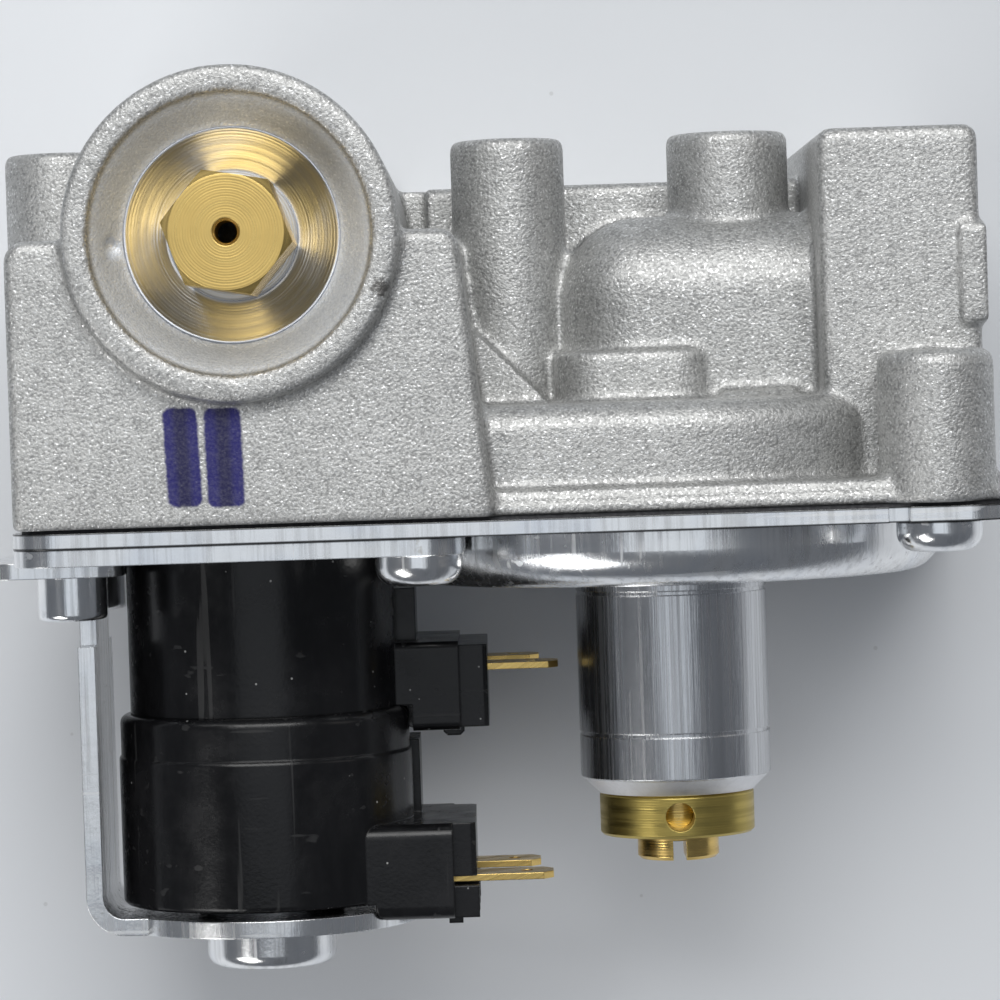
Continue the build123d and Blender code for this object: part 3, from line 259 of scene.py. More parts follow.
def open_group(name, inputs, outputs):
    """A new shader group with these named sockets, its wiring, its inputs and its output node."""
    tree = bpy.data.node_groups.new(name, "ShaderNodeTree")
    for label, kind, default in inputs:
        socket = tree.interface.new_socket(name=label, in_out="INPUT", socket_type=kind)
        if default is not None:
            socket.default_value = default
    for label, kind in outputs:
        tree.interface.new_socket(name=label, in_out="OUTPUT", socket_type=kind)
    wiring = Wiring(tree)
    return wiring, wiring.add("NodeGroupInput").outputs, wiring.add("NodeGroupOutput").inputs


VALUE = "NodeSocketFloat"
VECTOR = "NodeSocketVector"


def cast_grain_group():
    """Blasted die-cast skin: pits, bright points and a cloudy tone."""
    w, given, gives = open_group(
        "Cast grain",
        (("Vector", VECTOR, None), ("Size", VALUE, 0.0004)),
        (("Height", VALUE), ("Sparkle", VALUE), ("Mottle", VALUE)),
    )
    scale = w.sum("DIVIDE", 1.0, given["Size"])
    pits = w.noise(given["Vector"], scale, 2.5, 0.6)
    knobs = w.add(
        "ShaderNodeTexVoronoi", {"Vector": given["Vector"], "Scale": scale}, feature="SMOOTH_F1"
    ).outputs[0]
    height = w.sum("SUBTRACT", w.sum("MULTIPLY", pits, 1.3), w.sum("MULTIPLY", knobs, 0.55))
    broad = w.noise(given["Vector"], w.sum("MULTIPLY", scale, 0.22), 2.0, 0.5)
    w.feed(gives["Height"], w.sum("ADD", height, w.sum("MULTIPLY", broad, 0.45)))
    points = w.noise(w.moved(given["Vector"], (0.3, 0.1, 0.7)), w.sum("MULTIPLY", scale, 1.05), 1.0, 0.5)
    w.feed(gives["Sparkle"], w.ramp(points, 0.56, 0.72))
    clouds = w.noise(given["Vector"], w.sum("MULTIPLY", scale, 0.045), 4.0, 0.6)
    w.feed(gives["Mottle"], w.ramp(clouds, 0.3, 0.7))
    return w.tree


def streaks_group():
    """Drawn or sheared streaks that run along the given vector's Z."""
    w, given, gives = open_group(
        "Drawn streaks",
        (("Vector", VECTOR, None), ("Width", VALUE, 0.0003), ("Length", VALUE, 0.02)),
        (("Height", VALUE), ("Mask", VALUE)),
    )
    scale = w.sum("DIVIDE", 1.0, given["Width"])
    squeeze = w.sum("DIVIDE", given["Width"], given["Length"])
    stretch = w.add("ShaderNodeCombineXYZ", {"X": 1.0, "Y": 1.0, "Z": squeeze}).outputs[0]
    run = w.add("ShaderNodeVectorMath", {0: given["Vector"], 1: stretch}, operation="MULTIPLY").outputs[0]
    fine = w.noise(run, scale, 4.0, 0.7)
    w.feed(gives["Height"], fine)
    w.feed(gives["Mask"], w.ramp(w.noise(run, w.sum("MULTIPLY", scale, 0.35), 3.0, 0.65), 0.42, 0.68))
    return w.tree


def turning_group():
    """Lathe marks: rings round the given vector's Z axis, with a little change along each ring."""
    w, given, gives = open_group(
        "Turning marks",
        (("Vector", VECTOR, None), ("Pitch", VALUE, 0.0003), ("Along", VALUE, 0.0)),
        (("Height", VALUE), ("Mask", VALUE)),
    )
    parts = w.add("ShaderNodeSeparateXYZ", {0: given["Vector"]}).outputs
    radius = w.sum(
        "SQRT", w.sum("ADD", w.sum("MULTIPLY", parts[0], parts[0]), w.sum("MULTIPLY", parts[1], parts[1]))
    )
    reach = w.sum("ADD", radius, w.sum("MULTIPLY", parts[2], given["Along"]))
    step = w.sum("DIVIDE", reach, given["Pitch"])
    wave = w.sum("SINE", w.sum("MULTIPLY", step, 2 * math.pi))
    broken = w.add(
        "ShaderNodeTexNoise", {"W": step, "Scale": 1.3, "Detail": 3.0}, noise_dimensions="1D"
    ).outputs[0]
    w.feed(gives["Height"], w.sum("ADD", w.sum("MULTIPLY", wave, 0.22), broken))
    slow = w.add(
        "ShaderNodeTexNoise", {"W": step, "Scale": 0.37, "Detail": 2.0}, noise_dimensions="1D"
    ).outputs[0]
    w.feed(gives["Mask"], w.ramp(slow, 0.35, 0.68))
    return w.tree


def edge_group():
    """Sharp edges as the light sees them: a rounded normal and a mask for wear."""
    w, given, gives = open_group(
        "Edge wear", (("Radius", VALUE, 0.0002), ("Vector", VECTOR, None)), (
            ("Mask", VALUE), ("Normal", VECTOR)
        )
    )
    round_normal = w.add("ShaderNodeBevel", {"Radius": given["Radius"]}, samples=6).outputs[0]
    true_normal = w.add("ShaderNodeNewGeometry").outputs["Normal"]
    dot = w.add(
        "ShaderNodeVectorMath", {0: round_normal, 1: true_normal}, operation="DOT_PRODUCT"
    ).outputs["Value"]
    bend = w.ramp(w.sum("SUBTRACT", 1.0, dot), 0.01, 0.16)
    patchy = w.ramp(w.noise(given["Vector"], 900.0, 3.0, 0.6), 0.35, 0.6, 0.35, 1.0)
    w.feed(gives["Mask"], w.sum("MULTIPLY", bend, patchy))
    w.feed(gives["Normal"], round_normal)
    return w.tree


def dust_group():
    """Loose specks and a faint film."""
    w, given, gives = open_group(
        "Dust", (("Vector", VECTOR, None), ("Amount", VALUE, 0.5)), (("Specks", VALUE), ("Film", VALUE))
    )
    cells = w.add("ShaderNodeTexVoronoi", {"Vector": given["Vector"], "Scale": 950.0})
    near = w.ramp(cells.outputs["Distance"], 0.10, 0.16, 1.0, 0.0)
    pick = w.add("ShaderNodeSeparateColor", {0: cells.outputs["Color"]}).outputs[0]
    chosen = w.sum("LESS_THAN", pick, w.sum("MULTIPLY", given["Amount"], 0.11))
    w.feed(gives["Specks"], w.sum("MULTIPLY", near, chosen))
    film = w.ramp(w.noise(given["Vector"], 160.0, 5.0, 0.65), 0.42, 0.75)
    w.feed(gives["Film"], w.sum("MULTIPLY", film, given["Amount"]))
    return w.tree


def scratches_group():
    """Fine handling scratches in two directions."""
    w, given, gives = open_group(
        "Fine scratches", (("Vector", VECTOR, None), ("Scale", VALUE, 900.0)), (("Mask", VALUE),)
    )
    found = []
    for turn, long_way in (((0.3, 0.5, 0.4), (1.0, 0.035, 1.0)), ((0.9, -0.4, -0.7), (0.03, 1.0, 1.0))):
        run = w.moved(given["Vector"], turn=turn, scale=long_way)
        found.append(w.ramp(w.noise(run, given["Scale"], 2.0, 0.5), 0.66, 0.72))
    w.feed(gives["Mask"], w.sum("MAXIMUM", found[0], found[1]))
    return w.tree


def effect(name):
    """The shared group of that name, built the first time it is asked for."""
    makers = {
        "Cast grain": cast_grain_group,
        "Drawn streaks": streaks_group,
        "Turning marks": turning_group,
        "Edge wear": edge_group,
        "Dust": dust_group,
        "Fine scratches": scratches_group,
    }
    return bpy.data.node_groups.get(name) or makers[name]()


def open_material(name):
    """A new material: its wiring, its shader and the object's own coordinates."""
    material = bpy.data.materials.new(name)
    material.use_nodes = True
    w = Wiring(material.node_tree)
    shader = material.node_tree.nodes["Principled BSDF"]
    place = w.add("ShaderNodeTexCoord").outputs["Object"]
    return material, w, shader, place


def along_y(w, place, x=0.0, z=0.0):
    """The same places with the Y axis through (x, z) as the new Z axis."""
    centred = w.moved(place, shift=(-x, 0.0, -z))
    parts = w.add("ShaderNodeSeparateXYZ", {0: centred}).outputs
    return w.add("ShaderNodeCombineXYZ", {0: parts[0], 1: parts[2], 2: parts[1]}).outputs[0]


# ---- Finishes ----


def stroke_mask(w, place, x, y, half_width, half_length, slant):
    """One marker stroke on the casting's front: a rounded bar with ragged ends."""
    ragged = w.sum("MULTIPLY", w.sum("SUBTRACT", w.noise(place, 1500.0, 3.0, 0.6), 0.5), 0.4 * MM)
    parts = w.add("ShaderNodeSeparateXYZ", {0: w.moved(place, shift=(-x, -y, 0.0))}).outputs
    across = w.sum("ADD", parts[0], w.sum("MULTIPLY", parts[1], slant))
    side = w.sum("SUBTRACT", w.sum("ABSOLUTE", across), half_width - 1.0 * MM)
    end = w.sum("SUBTRACT", w.sum("ABSOLUTE", parts[1]), half_length - 1.0 * MM)
    side = w.sum("MAXIMUM", side, 0.0)
    end = w.sum("MAXIMUM", end, 0.0)
    away = w.sum("SQRT", w.sum("ADD", w.sum("MULTIPLY", side, side), w.sum("MULTIPLY", end, end)))
    mask = w.ramp(w.sum("ADD", away, ragged), 0.75 * MM, 1.15 * MM, 1.0, 0.0)
    pooled = w.ramp(w.sum("ABSOLUTE", w.sum("ADD", across, ragged)), 0.3 * MM, 1.3 * MM, 1.0, 0.0)
    return mask, pooled


def cast_finish(sizes):
    """Blasted cast aluminium with two marker strokes, a scuff by the outlet and a painted pale bluish
    reflection in the throat.
    """
    material, w, shader, place = open_material("cast_aluminium_blasted")
    grain = w.group(effect("Cast grain"), {"Vector": place, "Size": sizes.grain_size})
    edge = w.group(effect("Edge wear"), {"Radius": 0.5 * MM, "Vector": place})
    tone = w.mix(grain["Mottle"], [0.93 * c for c in sizes.colour], [1.04 * c for c in sizes.colour])
    tone = w.mix(w.sum("MULTIPLY", grain["Sparkle"], 0.8), tone, (0.95, 0.95, 0.95))
    tone = w.mix(w.ramp(grain["Height"], 0.35, 0.75, 0.6, 0.0), tone, (0.22, 0.22, 0.22))
    tone = w.mix(w.sum("MULTIPLY", edge["Mask"], 0.4), tone, (0.9, 0.9, 0.9))
    front = w.ramp(
        w.add("ShaderNodeSeparateXYZ", {0: place}).outputs[2], ring_face_z - 4.2 * MM,
        ring_face_z - 3.9 * MM,
    )
    ink_share = 0.0
    for x, y, half_width, slant in ((-6.3, -25.1, 2.0, 0.035), (-1.55, -25.25, 2.15, 0.02)):
        mask, pooled = stroke_mask(w, place, x * MM, y * MM, half_width * MM, 5.7 * MM, slant)
        share = w.sum(
            "MULTIPLY", w.sum("MULTIPLY", mask, front), w.ramp(grain["Height"], 0.3, 1.1, 1.0, 0.93)
        )
        tint = w.mix(pooled, sizes.ink, [0.45 * c for c in sizes.ink])
        tone = w.mix(share, tone, tint)
        ink_share = w.sum("MAXIMUM", share, ink_share)
    # Painted reflection: a pale bluish tone inside the throat, below the ring face, stands in for reflected
    # light.
    flat = w.add("ShaderNodeVectorMath", {0: place, 1: (1.0, 1.0, 0.0)}, operation="MULTIPLY").outputs[0]
    from_axis = w.add("ShaderNodeVectorMath", {0: flat}, operation="LENGTH").outputs["Value"]
    below_ring = w.ramp(
        w.add("ShaderNodeSeparateXYZ", {0: place}).outputs[2], ring_face_z - throat_full_depth,
        ring_face_z - throat_lip_depth, 1.0, 0.0
    )
    within = w.ramp(from_axis, throat_radius, throat_radius + throat_fade, 1.0, 0.0)
    throat_painted_reflection = w.sum("MULTIPLY", within, below_ring)
    tone = w.mix(w.sum("MULTIPLY", throat_painted_reflection, 0.55), tone, painted_throat_reflection_tone)
    scuff = w.add(
        "ShaderNodeVectorMath", {0: place, 1: scuff_place}, operation="DISTANCE"
    )
    torn = w.sum("ADD", scuff.outputs["Value"], w.sum("MULTIPLY", w.noise(place, 1300.0, 4.0, 0.7), 2.6 * MM))
    scuffed = w.ramp(torn, 2.0 * MM, 2.7 * MM, 0.75, 0.0)
    tone = w.mix(scuffed, tone, (0.07, 0.065, 0.06))
    w.feed(shader.inputs["Base Color"], tone)
    # The painted reflection also lowers the metal share in the throat so that its pale tone shows.
    bare = w.sum("SUBTRACT", 0.88, w.sum("MULTIPLY", throat_painted_reflection, 0.4))
    w.feed(shader.inputs["Metallic"], w.sum("MULTIPLY", bare, w.sum("SUBTRACT", 1.0, ink_share)))
    rough = w.ramp(grain["Sparkle"], 0.0, 1.0, 0.55, 0.36, smooth=False)
    w.feed(shader.inputs["Roughness"], w.sum("ADD", rough, w.sum("MULTIPLY", ink_share, 0.1)))
    bump = w.add(
        "ShaderNodeBump", {"Height": grain["Height"], "Distance": sizes.grain_depth, "Strength": 1.0}
    )
    w.feed(shader.inputs["Normal"], bump.outputs[0])
    return material


def turned_finish(
    name, colour, pitch, centre, along, rough=0.26, depth=0.012 * MM, spread=0.6, dull=0.35, swept=False
):
    """Lathe-turned metal round the Z axis, or round the Y axis through centre where one is given."""
    material, w, shader, place = open_material(name)
    axis = place if centre is None else along_y(w, place, *centre)
    marks = w.group(effect("Turning marks"), {"Vector": axis, "Pitch": pitch, "Along": along})
    edge = w.group(effect("Edge wear"), {"Radius": 0.14 * MM, "Vector": place})
    cloud = w.ramp(w.noise(place, 240.0, 4.0, 0.6), 0.35, 0.7)
    tone = w.mix(w.sum("MULTIPLY", marks["Mask"], spread), colour, [dull * c for c in colour])
    tone = w.mix(w.sum("MULTIPLY", cloud, 0.35), tone, [0.72 * c for c in colour])
    tone = w.mix(w.sum("MULTIPLY", edge["Mask"], 0.6), tone, [min(1.0, 1.35 * c + 0.04) for c in colour])
    w.feed(shader.inputs["Base Color"], tone)
    shader.inputs["Metallic"].default_value = 1.0
    if swept:
        shader.inputs["Anisotropic"].default_value = 0.88
        w.feed(
            shader.inputs["Tangent"],
            w.add("ShaderNodeTangent", direction_type="RADIAL", axis="Z").outputs[0],
        )
    w.feed(shader.inputs["Roughness"], w.ramp(marks["Mask"], 0.0, 1.0, rough, rough + 0.12, smooth=False))
    bump = w.add(
        "ShaderNodeBump",
        {"Height": marks["Height"], "Distance": depth, "Strength": 0.8, "Normal": edge["Normal"]},
    )
    w.feed(shader.inputs["Normal"], bump.outputs[0])
    return material


def zinc_finish(metals, name="zinc_plate_bright", rough=0.2):
    """Bright zinc plate over sheet: faint rolling waves, shear marks on the cut edges and small stains."""
    material, w, shader, place = open_material(name)
    streaks = w.group(
        effect("Drawn streaks"), {"Vector": along_y(w, place), "Width": 0.35 * MM, "Length": 9.0 * MM}
    )
    scratches = w.group(effect("Fine scratches"), {"Vector": place, "Scale": 800.0})
    edge = w.group(effect("Edge wear"), {"Radius": metals.edge_round, "Vector": place})
    waves = w.noise(place, 130.0, 3.0, 0.55)
    tone = w.mix(w.sum("MULTIPLY", streaks["Mask"], 0.5), metals.zinc, [0.58 * c for c in metals.zinc])
    tone = w.mix(w.ramp(waves, 0.42, 0.75, 0.0, 0.35), tone, (0.66, 0.72, 0.82))
    stain = w.ramp(w.noise(w.moved(place, (0.2, 0.4, 0.1)), 210.0, 4.0, 0.65), 0.66, 0.74, 0.0, 0.5)
    tone = w.mix(stain, tone, (0.42, 0.38, 0.30))
    tone = w.mix(w.sum("MULTIPLY", edge["Mask"], 0.6), tone, (0.95, 0.96, 0.98))
    height_on_valve = w.add("ShaderNodeSeparateXYZ", {0: place}).outputs[1]
    for joint_y in joint_places:
        away = w.sum("ABSOLUTE", w.sum("SUBTRACT", height_on_valve, joint_y))
        tone = w.mix(w.ramp(away, 0.10 * MM, 0.24 * MM, 0.88, 0.0), tone, (0.03, 0.03, 0.03))
    w.feed(shader.inputs["Base Color"], tone)
    shader.inputs["Metallic"].default_value = 1.0
    marred = w.sum("ADD", w.sum("MULTIPLY", scratches["Mask"], 0.16), w.sum("MULTIPLY", streaks["Mask"], 0.1))
    w.feed(shader.inputs["Roughness"], w.sum("ADD", marred, rough))
    height = w.sum("ADD", w.sum("MULTIPLY", waves, 5.0), streaks["Height"])
    height = w.sum("ADD", height, w.sum("MULTIPLY", w.noise(place, 2600.0, 2.0, 0.5), 0.5))
    bump = w.add(
        "ShaderNodeBump",
        {"Height": height, "Distance": 0.016 * MM, "Strength": 0.8, "Normal": edge["Normal"]},
    )
    w.feed(shader.inputs["Normal"], bump.outputs[0])
    return material


def drawn_finish(metals):
    """The tower's drawn aluminium bar: axial streaks, with a turned white chamfer at its end."""
    material, w, shader, place = open_material("turned_aluminium_drawn")
    axis = along_y(w, place, regulator_axis.x, regulator_axis.z)
    fine = w.group(effect("Drawn streaks"), {"Vector": axis, "Width": 0.16 * MM, "Length": 24.0 * MM})
    broad = w.group(effect("Drawn streaks"), {"Vector": axis, "Width": 1.1 * MM, "Length": 60.0 * MM})
    rings = w.group(effect("Turning marks"), {"Vector": axis, "Pitch": 0.3 * MM, "Along": 1.0})
    edge = w.group(effect("Edge wear"), {"Radius": 0.16 * MM, "Vector": place})
    reach = w.add("ShaderNodeSeparateXYZ", {0: place}).outputs[1]
    end = w.ramp(reach, tower_low.y + 1.8 * MM, tower_low.y + 2.0 * MM, 1.0, 0.0)
    tone = w.mix(w.sum("MULTIPLY", broad["Mask"], 0.5), metals.turned, [0.55 * c for c in metals.turned])
    tone = w.mix(w.sum("MULTIPLY", fine["Mask"], 0.35), tone, (0.34, 0.34, 0.35))
    tone = w.mix(w.sum("MULTIPLY", end, 0.8), tone, (0.9, 0.9, 0.92))
    tone = w.mix(w.sum("MULTIPLY", edge["Mask"], 0.6), tone, (0.95, 0.95, 0.96))
    w.feed(shader.inputs["Base Color"], tone)
    shader.inputs["Metallic"].default_value = 1.0
    w.feed(
        shader.inputs["Roughness"],
        w.sum("ADD", w.sum("MULTIPLY", end, 0.22), w.ramp(fine["Mask"], 0, 1, 0.2, 0.3)),
    )
    plain = w.sum("SUBTRACT", 1.0, end)
    height = w.sum("MULTIPLY", w.sum("ADD", fine["Height"], w.sum("MULTIPLY", broad["Height"], 3.0)), plain)
    height = w.sum("ADD", height, w.sum("MULTIPLY", rings["Height"], w.sum("MULTIPLY", end, 0.6)))
    bump = w.add(
        "ShaderNodeBump",
        {"Height": height, "Distance": 0.022 * MM, "Strength": 0.9, "Normal": edge["Normal"]},
    )
    w.feed(shader.inputs["Normal"], bump.outputs[0])
    return material


def moulding_finish(plastics):
    """Black semi-gloss moulding with fine scratches, dust and paler edges."""
    material, w, shader, place = open_material("black_plastic_moulded")
    edge = w.group(effect("Edge wear"), {"Radius": plastics.moulding_round, "Vector": place})
    dust = w.group(effect("Dust"), {"Vector": place, "Amount": plastics.dust})
    scratches = w.group(effect("Fine scratches"), {"Vector": place, "Scale": 650.0})
    swirl = w.noise(w.moved(place, scale=(1.0, 0.3, 1.0)), 190.0, 4.0, 0.6)
    tone = w.mix(w.ramp(swirl, 0.35, 0.7), plastics.black, [1.9 * c for c in plastics.black])
    tone = w.mix(w.sum("MULTIPLY", dust["Film"], 0.09), tone, (0.10, 0.10, 0.105))
    tone = w.mix(w.sum("MULTIPLY", scratches["Mask"], 0.12), tone, (0.12, 0.12, 0.12))
    tone = w.mix(w.sum("MULTIPLY", edge["Mask"], 0.18), tone, (0.10, 0.10, 0.10))
    tone = w.mix(w.sum("MULTIPLY", dust["Specks"], 0.6), tone, (0.45, 0.45, 0.44))
    w.feed(shader.inputs["Base Color"], tone)
    rough = w.sum("ADD", w.ramp(swirl, 0.3, 0.75, 0.17, 0.25), w.sum("MULTIPLY", dust["Film"], 0.22))
    w.feed(shader.inputs["Roughness"], w.sum("ADD", rough, w.sum("MULTIPLY", scratches["Mask"], 0.2)))
    shader.inputs["Specular IOR Level"].default_value = 0.36
    height = w.sum("ADD", w.sum("MULTIPLY", swirl, 3.0), w.noise(place, 2300.0, 2.0, 0.5))
    bump = w.add(
        "ShaderNodeBump",
        {"Height": height, "Distance": 0.02 * MM, "Strength": 0.7, "Normal": edge["Normal"]},
    )
    w.feed(shader.inputs["Normal"], bump.outputs[0])
    return material


def soft_finish(name, dark, light, rough, grain, depth):
    """Rubber, gasket fibre or spool plastic: a fine mottled matt surface."""
    material, w, shader, place = open_material(name)
    fleck = w.noise(place, grain, 4.0, 0.6)
    dust = w.group(effect("Dust"), {"Vector": place, "Amount": 0.25})
    tone = w.mix(w.ramp(fleck, 0.35, 0.7), dark, light)
    tone = w.mix(w.sum("MULTIPLY", dust["Specks"], 0.4), tone, (0.4, 0.4, 0.4))
    w.feed(shader.inputs["Base Color"], tone)
    w.feed(shader.inputs["Roughness"], w.ramp(fleck, 0.3, 0.7, rough - 0.08, rough + 0.08))
    bump = w.add("ShaderNodeBump", {"Height": fleck, "Distance": depth, "Strength": 0.8})
    w.feed(shader.inputs["Normal"], bump.outputs[0])
    return material


def wire_finish(name, colour, pitch, rough):
    """Wound wire or spring wire: marks that follow the turns."""
    material, w, shader, place = open_material(name)
    streaks = w.group(
        effect("Drawn streaks"),
        {"Vector": w.moved(place, turn=(0, math.pi / 2, 0)), "Width": pitch, "Length": 12 * pitch},
    )
    tone = w.mix(streaks["Mask"], colour, [0.5 * c for c in colour])
    w.feed(shader.inputs["Base Color"], tone)
    shader.inputs["Metallic"].default_value = 1.0
    w.feed(shader.inputs["Roughness"], w.ramp(streaks["Mask"], 0.0, 1.0, rough, rough + 0.15))
    bump = w.add("ShaderNodeBump", {"Height": streaks["Height"], "Distance": 0.02 * MM, "Strength": 0.7})
    w.feed(shader.inputs["Normal"], bump.outputs[0])
    return material


def table_finish(stage):
    """Pale smooth table top with a faint unevenness."""
    material, w, shader, place = open_material("table_top")
    cloud = w.noise(place, 14.0, 4.0, 0.55)
    specks = w.group(effect("Dust"), {"Vector": w.moved(place, scale=(0.5, 0.5, 0.5)), "Amount": 0.12})
    tone = w.mix(w.ramp(cloud, 0.35, 0.7, 0.0, 0.35), stage.table, [0.96 * c for c in stage.table])
    tone = w.mix(w.sum("MULTIPLY", specks["Specks"], 0.3), tone, (0.4, 0.4, 0.4))
    w.feed(shader.inputs["Base Color"], tone)
    w.feed(shader.inputs["Roughness"], w.ramp(cloud, 0.3, 0.7, 0.5, 0.6))
    bump = w.add(
        "ShaderNodeBump",
        {"Height": w.noise(place, 700.0, 3.0, 0.5), "Distance": 0.02 * MM, "Strength": 0.4},
    )
    w.feed(shader.inputs["Normal"], bump.outputs[0])
    return material


def dress(node, material):
    """Gives a carried-over piece its finish."""
    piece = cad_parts[node]
    if not piece.material_slots:
        raise RuntimeError(f"{node} has no material slot")
    for slot in piece.material_slots:
        slot.link = "OBJECT"
        slot.material = material


def link(name, mesh, material, smooth=True):
    """A new piece in the scene with that mesh and finish."""
    piece = bpy.data.objects.new(name, mesh)
    bpy.context.scene.collection.objects.link(piece)
    mesh.materials.clear()
    mesh.materials.append(material)
    mesh.polygons.foreach_set("use_smooth", [smooth] * len(mesh.polygons))
    return piece


# ---- Pieces ----


class GASVALVE_OT_casting(bpy.types.Operator):
    """Make the casting's soft-edged skin and its machined funnel"""

    bl_idname = "gas_valve.casting"
    bl_label = "Casting"

    def execute(self, context):
        sizes = context.scene.gas_valve_casting
        skin = self.skin(sizes)
        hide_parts("valve_body")
        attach(skin, "housing")
        funnel = self.funnel(sizes)
        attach(funnel, "housing")
        return {"FINISHED"}

    def skin(self, sizes):
        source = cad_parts["valve_body"]
        mesh = source.data.copy()
        edit = bmesh.new()
        edit.from_mesh(mesh)
        bmesh.ops.remove_doubles(edit, verts=edit.verts, dist=0.002 * MM)
        edit.to_mesh(mesh)
        edit.free()
        draft = link("casting_draft", mesh, cast_finish(sizes))
        remesh = draft.modifiers.new("skin", "REMESH")
        remesh.mode = "VOXEL"
        remesh.voxel_size = sizes.skin_step
        remesh.use_smooth_shade = True
        soften = draft.modifiers.new("soften", "SMOOTH")
        soften.factor = 0.5
        soften.iterations = sizes.skin_softening
        shape = bpy.data.meshes.new_from_object(draft.evaluated_get(bpy.context.evaluated_depsgraph_get()))
        bpy.data.objects.remove(draft)
        for vertex in shape.vertices:
            place = vertex.co
            inside_rim = math.hypot(place.x, place.y) < sizes.funnel_rim
            if inside_rim and place.z > ring_face_z - sizes.funnel_foot_depth - MM:
                place.z -= 0.25 * MM
            for k in range(3):
                place[k] = min(max(place[k], body_low[k]), body_high[k])
        return link("casting_skin", shape, shape.materials[0])

    def funnel(self, sizes):
        outline = (
            (sizes.funnel_rim + 0.35 * MM, sizes.funnel_rim_depth + 0.5 * MM),
            (sizes.funnel_rim + 0.3 * MM, sizes.funnel_rim_depth - 0.02 * MM),
            (sizes.funnel_rim + 0.1 * MM, sizes.funnel_rim_depth - 0.08 * MM),
            (sizes.funnel_rim - 0.1 * MM, sizes.funnel_rim_depth),
            (sizes.funnel_foot, sizes.funnel_foot_depth - 0.06 * MM),
            (sizes.funnel_foot - 0.5 * MM, sizes.funnel_foot_depth - 0.06 * MM),
            (sizes.funnel_foot - 2.6 * MM, sizes.funnel_foot_depth - 0.06 * MM),
        )
        segments = 160
        edit = bmesh.new()
        rings = []
        for radius, depth in outline:
            ring = []
            for k in range(segments):
                angle = 2 * math.pi * k / segments
                ring.append(
                    edit.verts.new((radius * math.cos(angle), radius * math.sin(angle), ring_face_z - depth))
                )
            rings.append(ring)
        for outer, inner in zip(rings, rings[1:]):
            for k in range(segments):
                after = (k + 1) % segments
                edit.faces.new((outer[k], outer[after], inner[after], inner[k]))
        mesh = bpy.data.meshes.new("machined_funnel")
        edit.to_mesh(mesh)
        edit.free()
        finish = turned_finish(
            "cast_aluminium_turned", (0.64, 0.66, 0.70), sizes.ring_pitch, None, 0.0, 0.3, 0.02 * MM, 0.35,
            0.5, True
        )
        return link("machined_funnel", mesh, finish)


class GASVALVE_OT_sheets(bpy.types.Operator):
    """Finish the zinc-plated sheets and the gasket between them"""

    bl_idname = "gas_valve.sheets"
    bl_label = "Sheets"

    def execute(self, context):
        zinc = zinc_finish(context.scene.gas_valve_metals)
        for node in ("cover_plate", "solenoid_base_plate", "coil_bracket"):
            dress(node, zinc)
        fibre = soft_finish(
            "gasket_fibre_pressed", (0.035, 0.035, 0.04), (0.09, 0.09, 0.095), 0.75, 1800.0, 0.04 * MM
        )
        dress("cover_gasket", fibre)
        return {"FINISHED"}


class GASVALVE_OT_fasteners(bpy.types.Operator):
    """Finish the screws, the coil nut and the small steel parts"""

    bl_idname = "gas_valve.fasteners"
    bl_label = "Fasteners"

    def execute(self, context):
        metals = context.scene.gas_valve_metals
        zinc = zinc_finish(metals, "zinc_plate_fasteners", 0.16)
        for node in ("cover_screws", "bracket_screws", "coil_nut", "spring_cup"):
            dress(node, zinc)
        wire = wire_finish("spring_steel_wire", (0.45, 0.45, 0.46), 0.2 * MM, 0.28)
        for node in ("coil_spring_washer", "first_valve_spring", "second_valve_spring", "regulator_spring"):
            dress(node, wire)
        return {"FINISHED"}


class GASVALVE_OT_coils(bpy.types.Operator):
    """Finish the two coils and their spade terminals"""

    bl_idname = "gas_valve.coils"
    bl_label = "Coils"

    def execute(self, context):
        metals = context.scene.gas_valve_metals
        black = moulding_finish(context.scene.gas_valve_plastics)
        for node in ("upper_coil_case", "lower_coil_case"):
            dress(node, black)
        spool = soft_finish(
            "spool_plastic_natural", (0.45, 0.43, 0.38), (0.62, 0.60, 0.54), 0.55, 900.0, 0.01 * MM
        )
        copper = wire_finish("copper_winding_turns", (0.62, 0.30, 0.14), 0.25 * MM, 0.3)
        for node in ("upper_bobbin", "lower_bobbin"):
            dress(node, spool)
        for node in ("upper_winding", "lower_winding"):
            dress(node, copper)
        tabs = turned_finish("brass_terminals", metals.brass, 0.5 * MM, None, 0.4, 0.22, 0.006 * MM, 0.3, 0.7)
        for node in ("upper_terminals", "lower_terminals"):
            dress(node, tabs)
        return {"FINISHED"}


class GASVALVE_OT_regulator(bpy.types.Operator):
    """Finish the regulator's tower, collar, screw and diaphragm parts"""

    bl_idname = "gas_valve.regulator"
    bl_label = "Regulator"

    def execute(self, context):
        metals = context.scene.gas_valve_metals
        axis = (regulator_axis.x, regulator_axis.z)
        dress("regulator_tower", drawn_finish(metals))
        dull = turned_finish(
            "brass_collar_turned", metals.dull_brass, 0.28 * MM, axis, 0.9, 0.3, 0.012 * MM, 0.5, 0.6
        )
        dress("brass_collar", dull)
        fresh = turned_finish(
            "brass_adjuster_turned", metals.brass, 0.3 * MM, axis, 0.9, 0.2, 0.012 * MM, 0.35, 0.6
        )
        dress("adjusting_screw", fresh)
        pale = turned_finish("turned_aluminium_plain", metals.turned, 0.3 * MM, axis, 0.4, 0.28)
        for node in ("pressure_plate", "regulator_stem", "regulator_disc_holder"):
            dress(node, pale)
        rubber = soft_finish(
            "black_rubber_moulded", (0.018, 0.018, 0.018), (0.035, 0.035, 0.035), 0.6, 1500.0, 0.01 * MM
        )
        for node in (
            "diaphragm", "regulator_disc", "guide_tube_seal", "first_valve_disc", "second_valve_disc"
        ):
            dress(node, rubber)
        return {"FINISHED"}


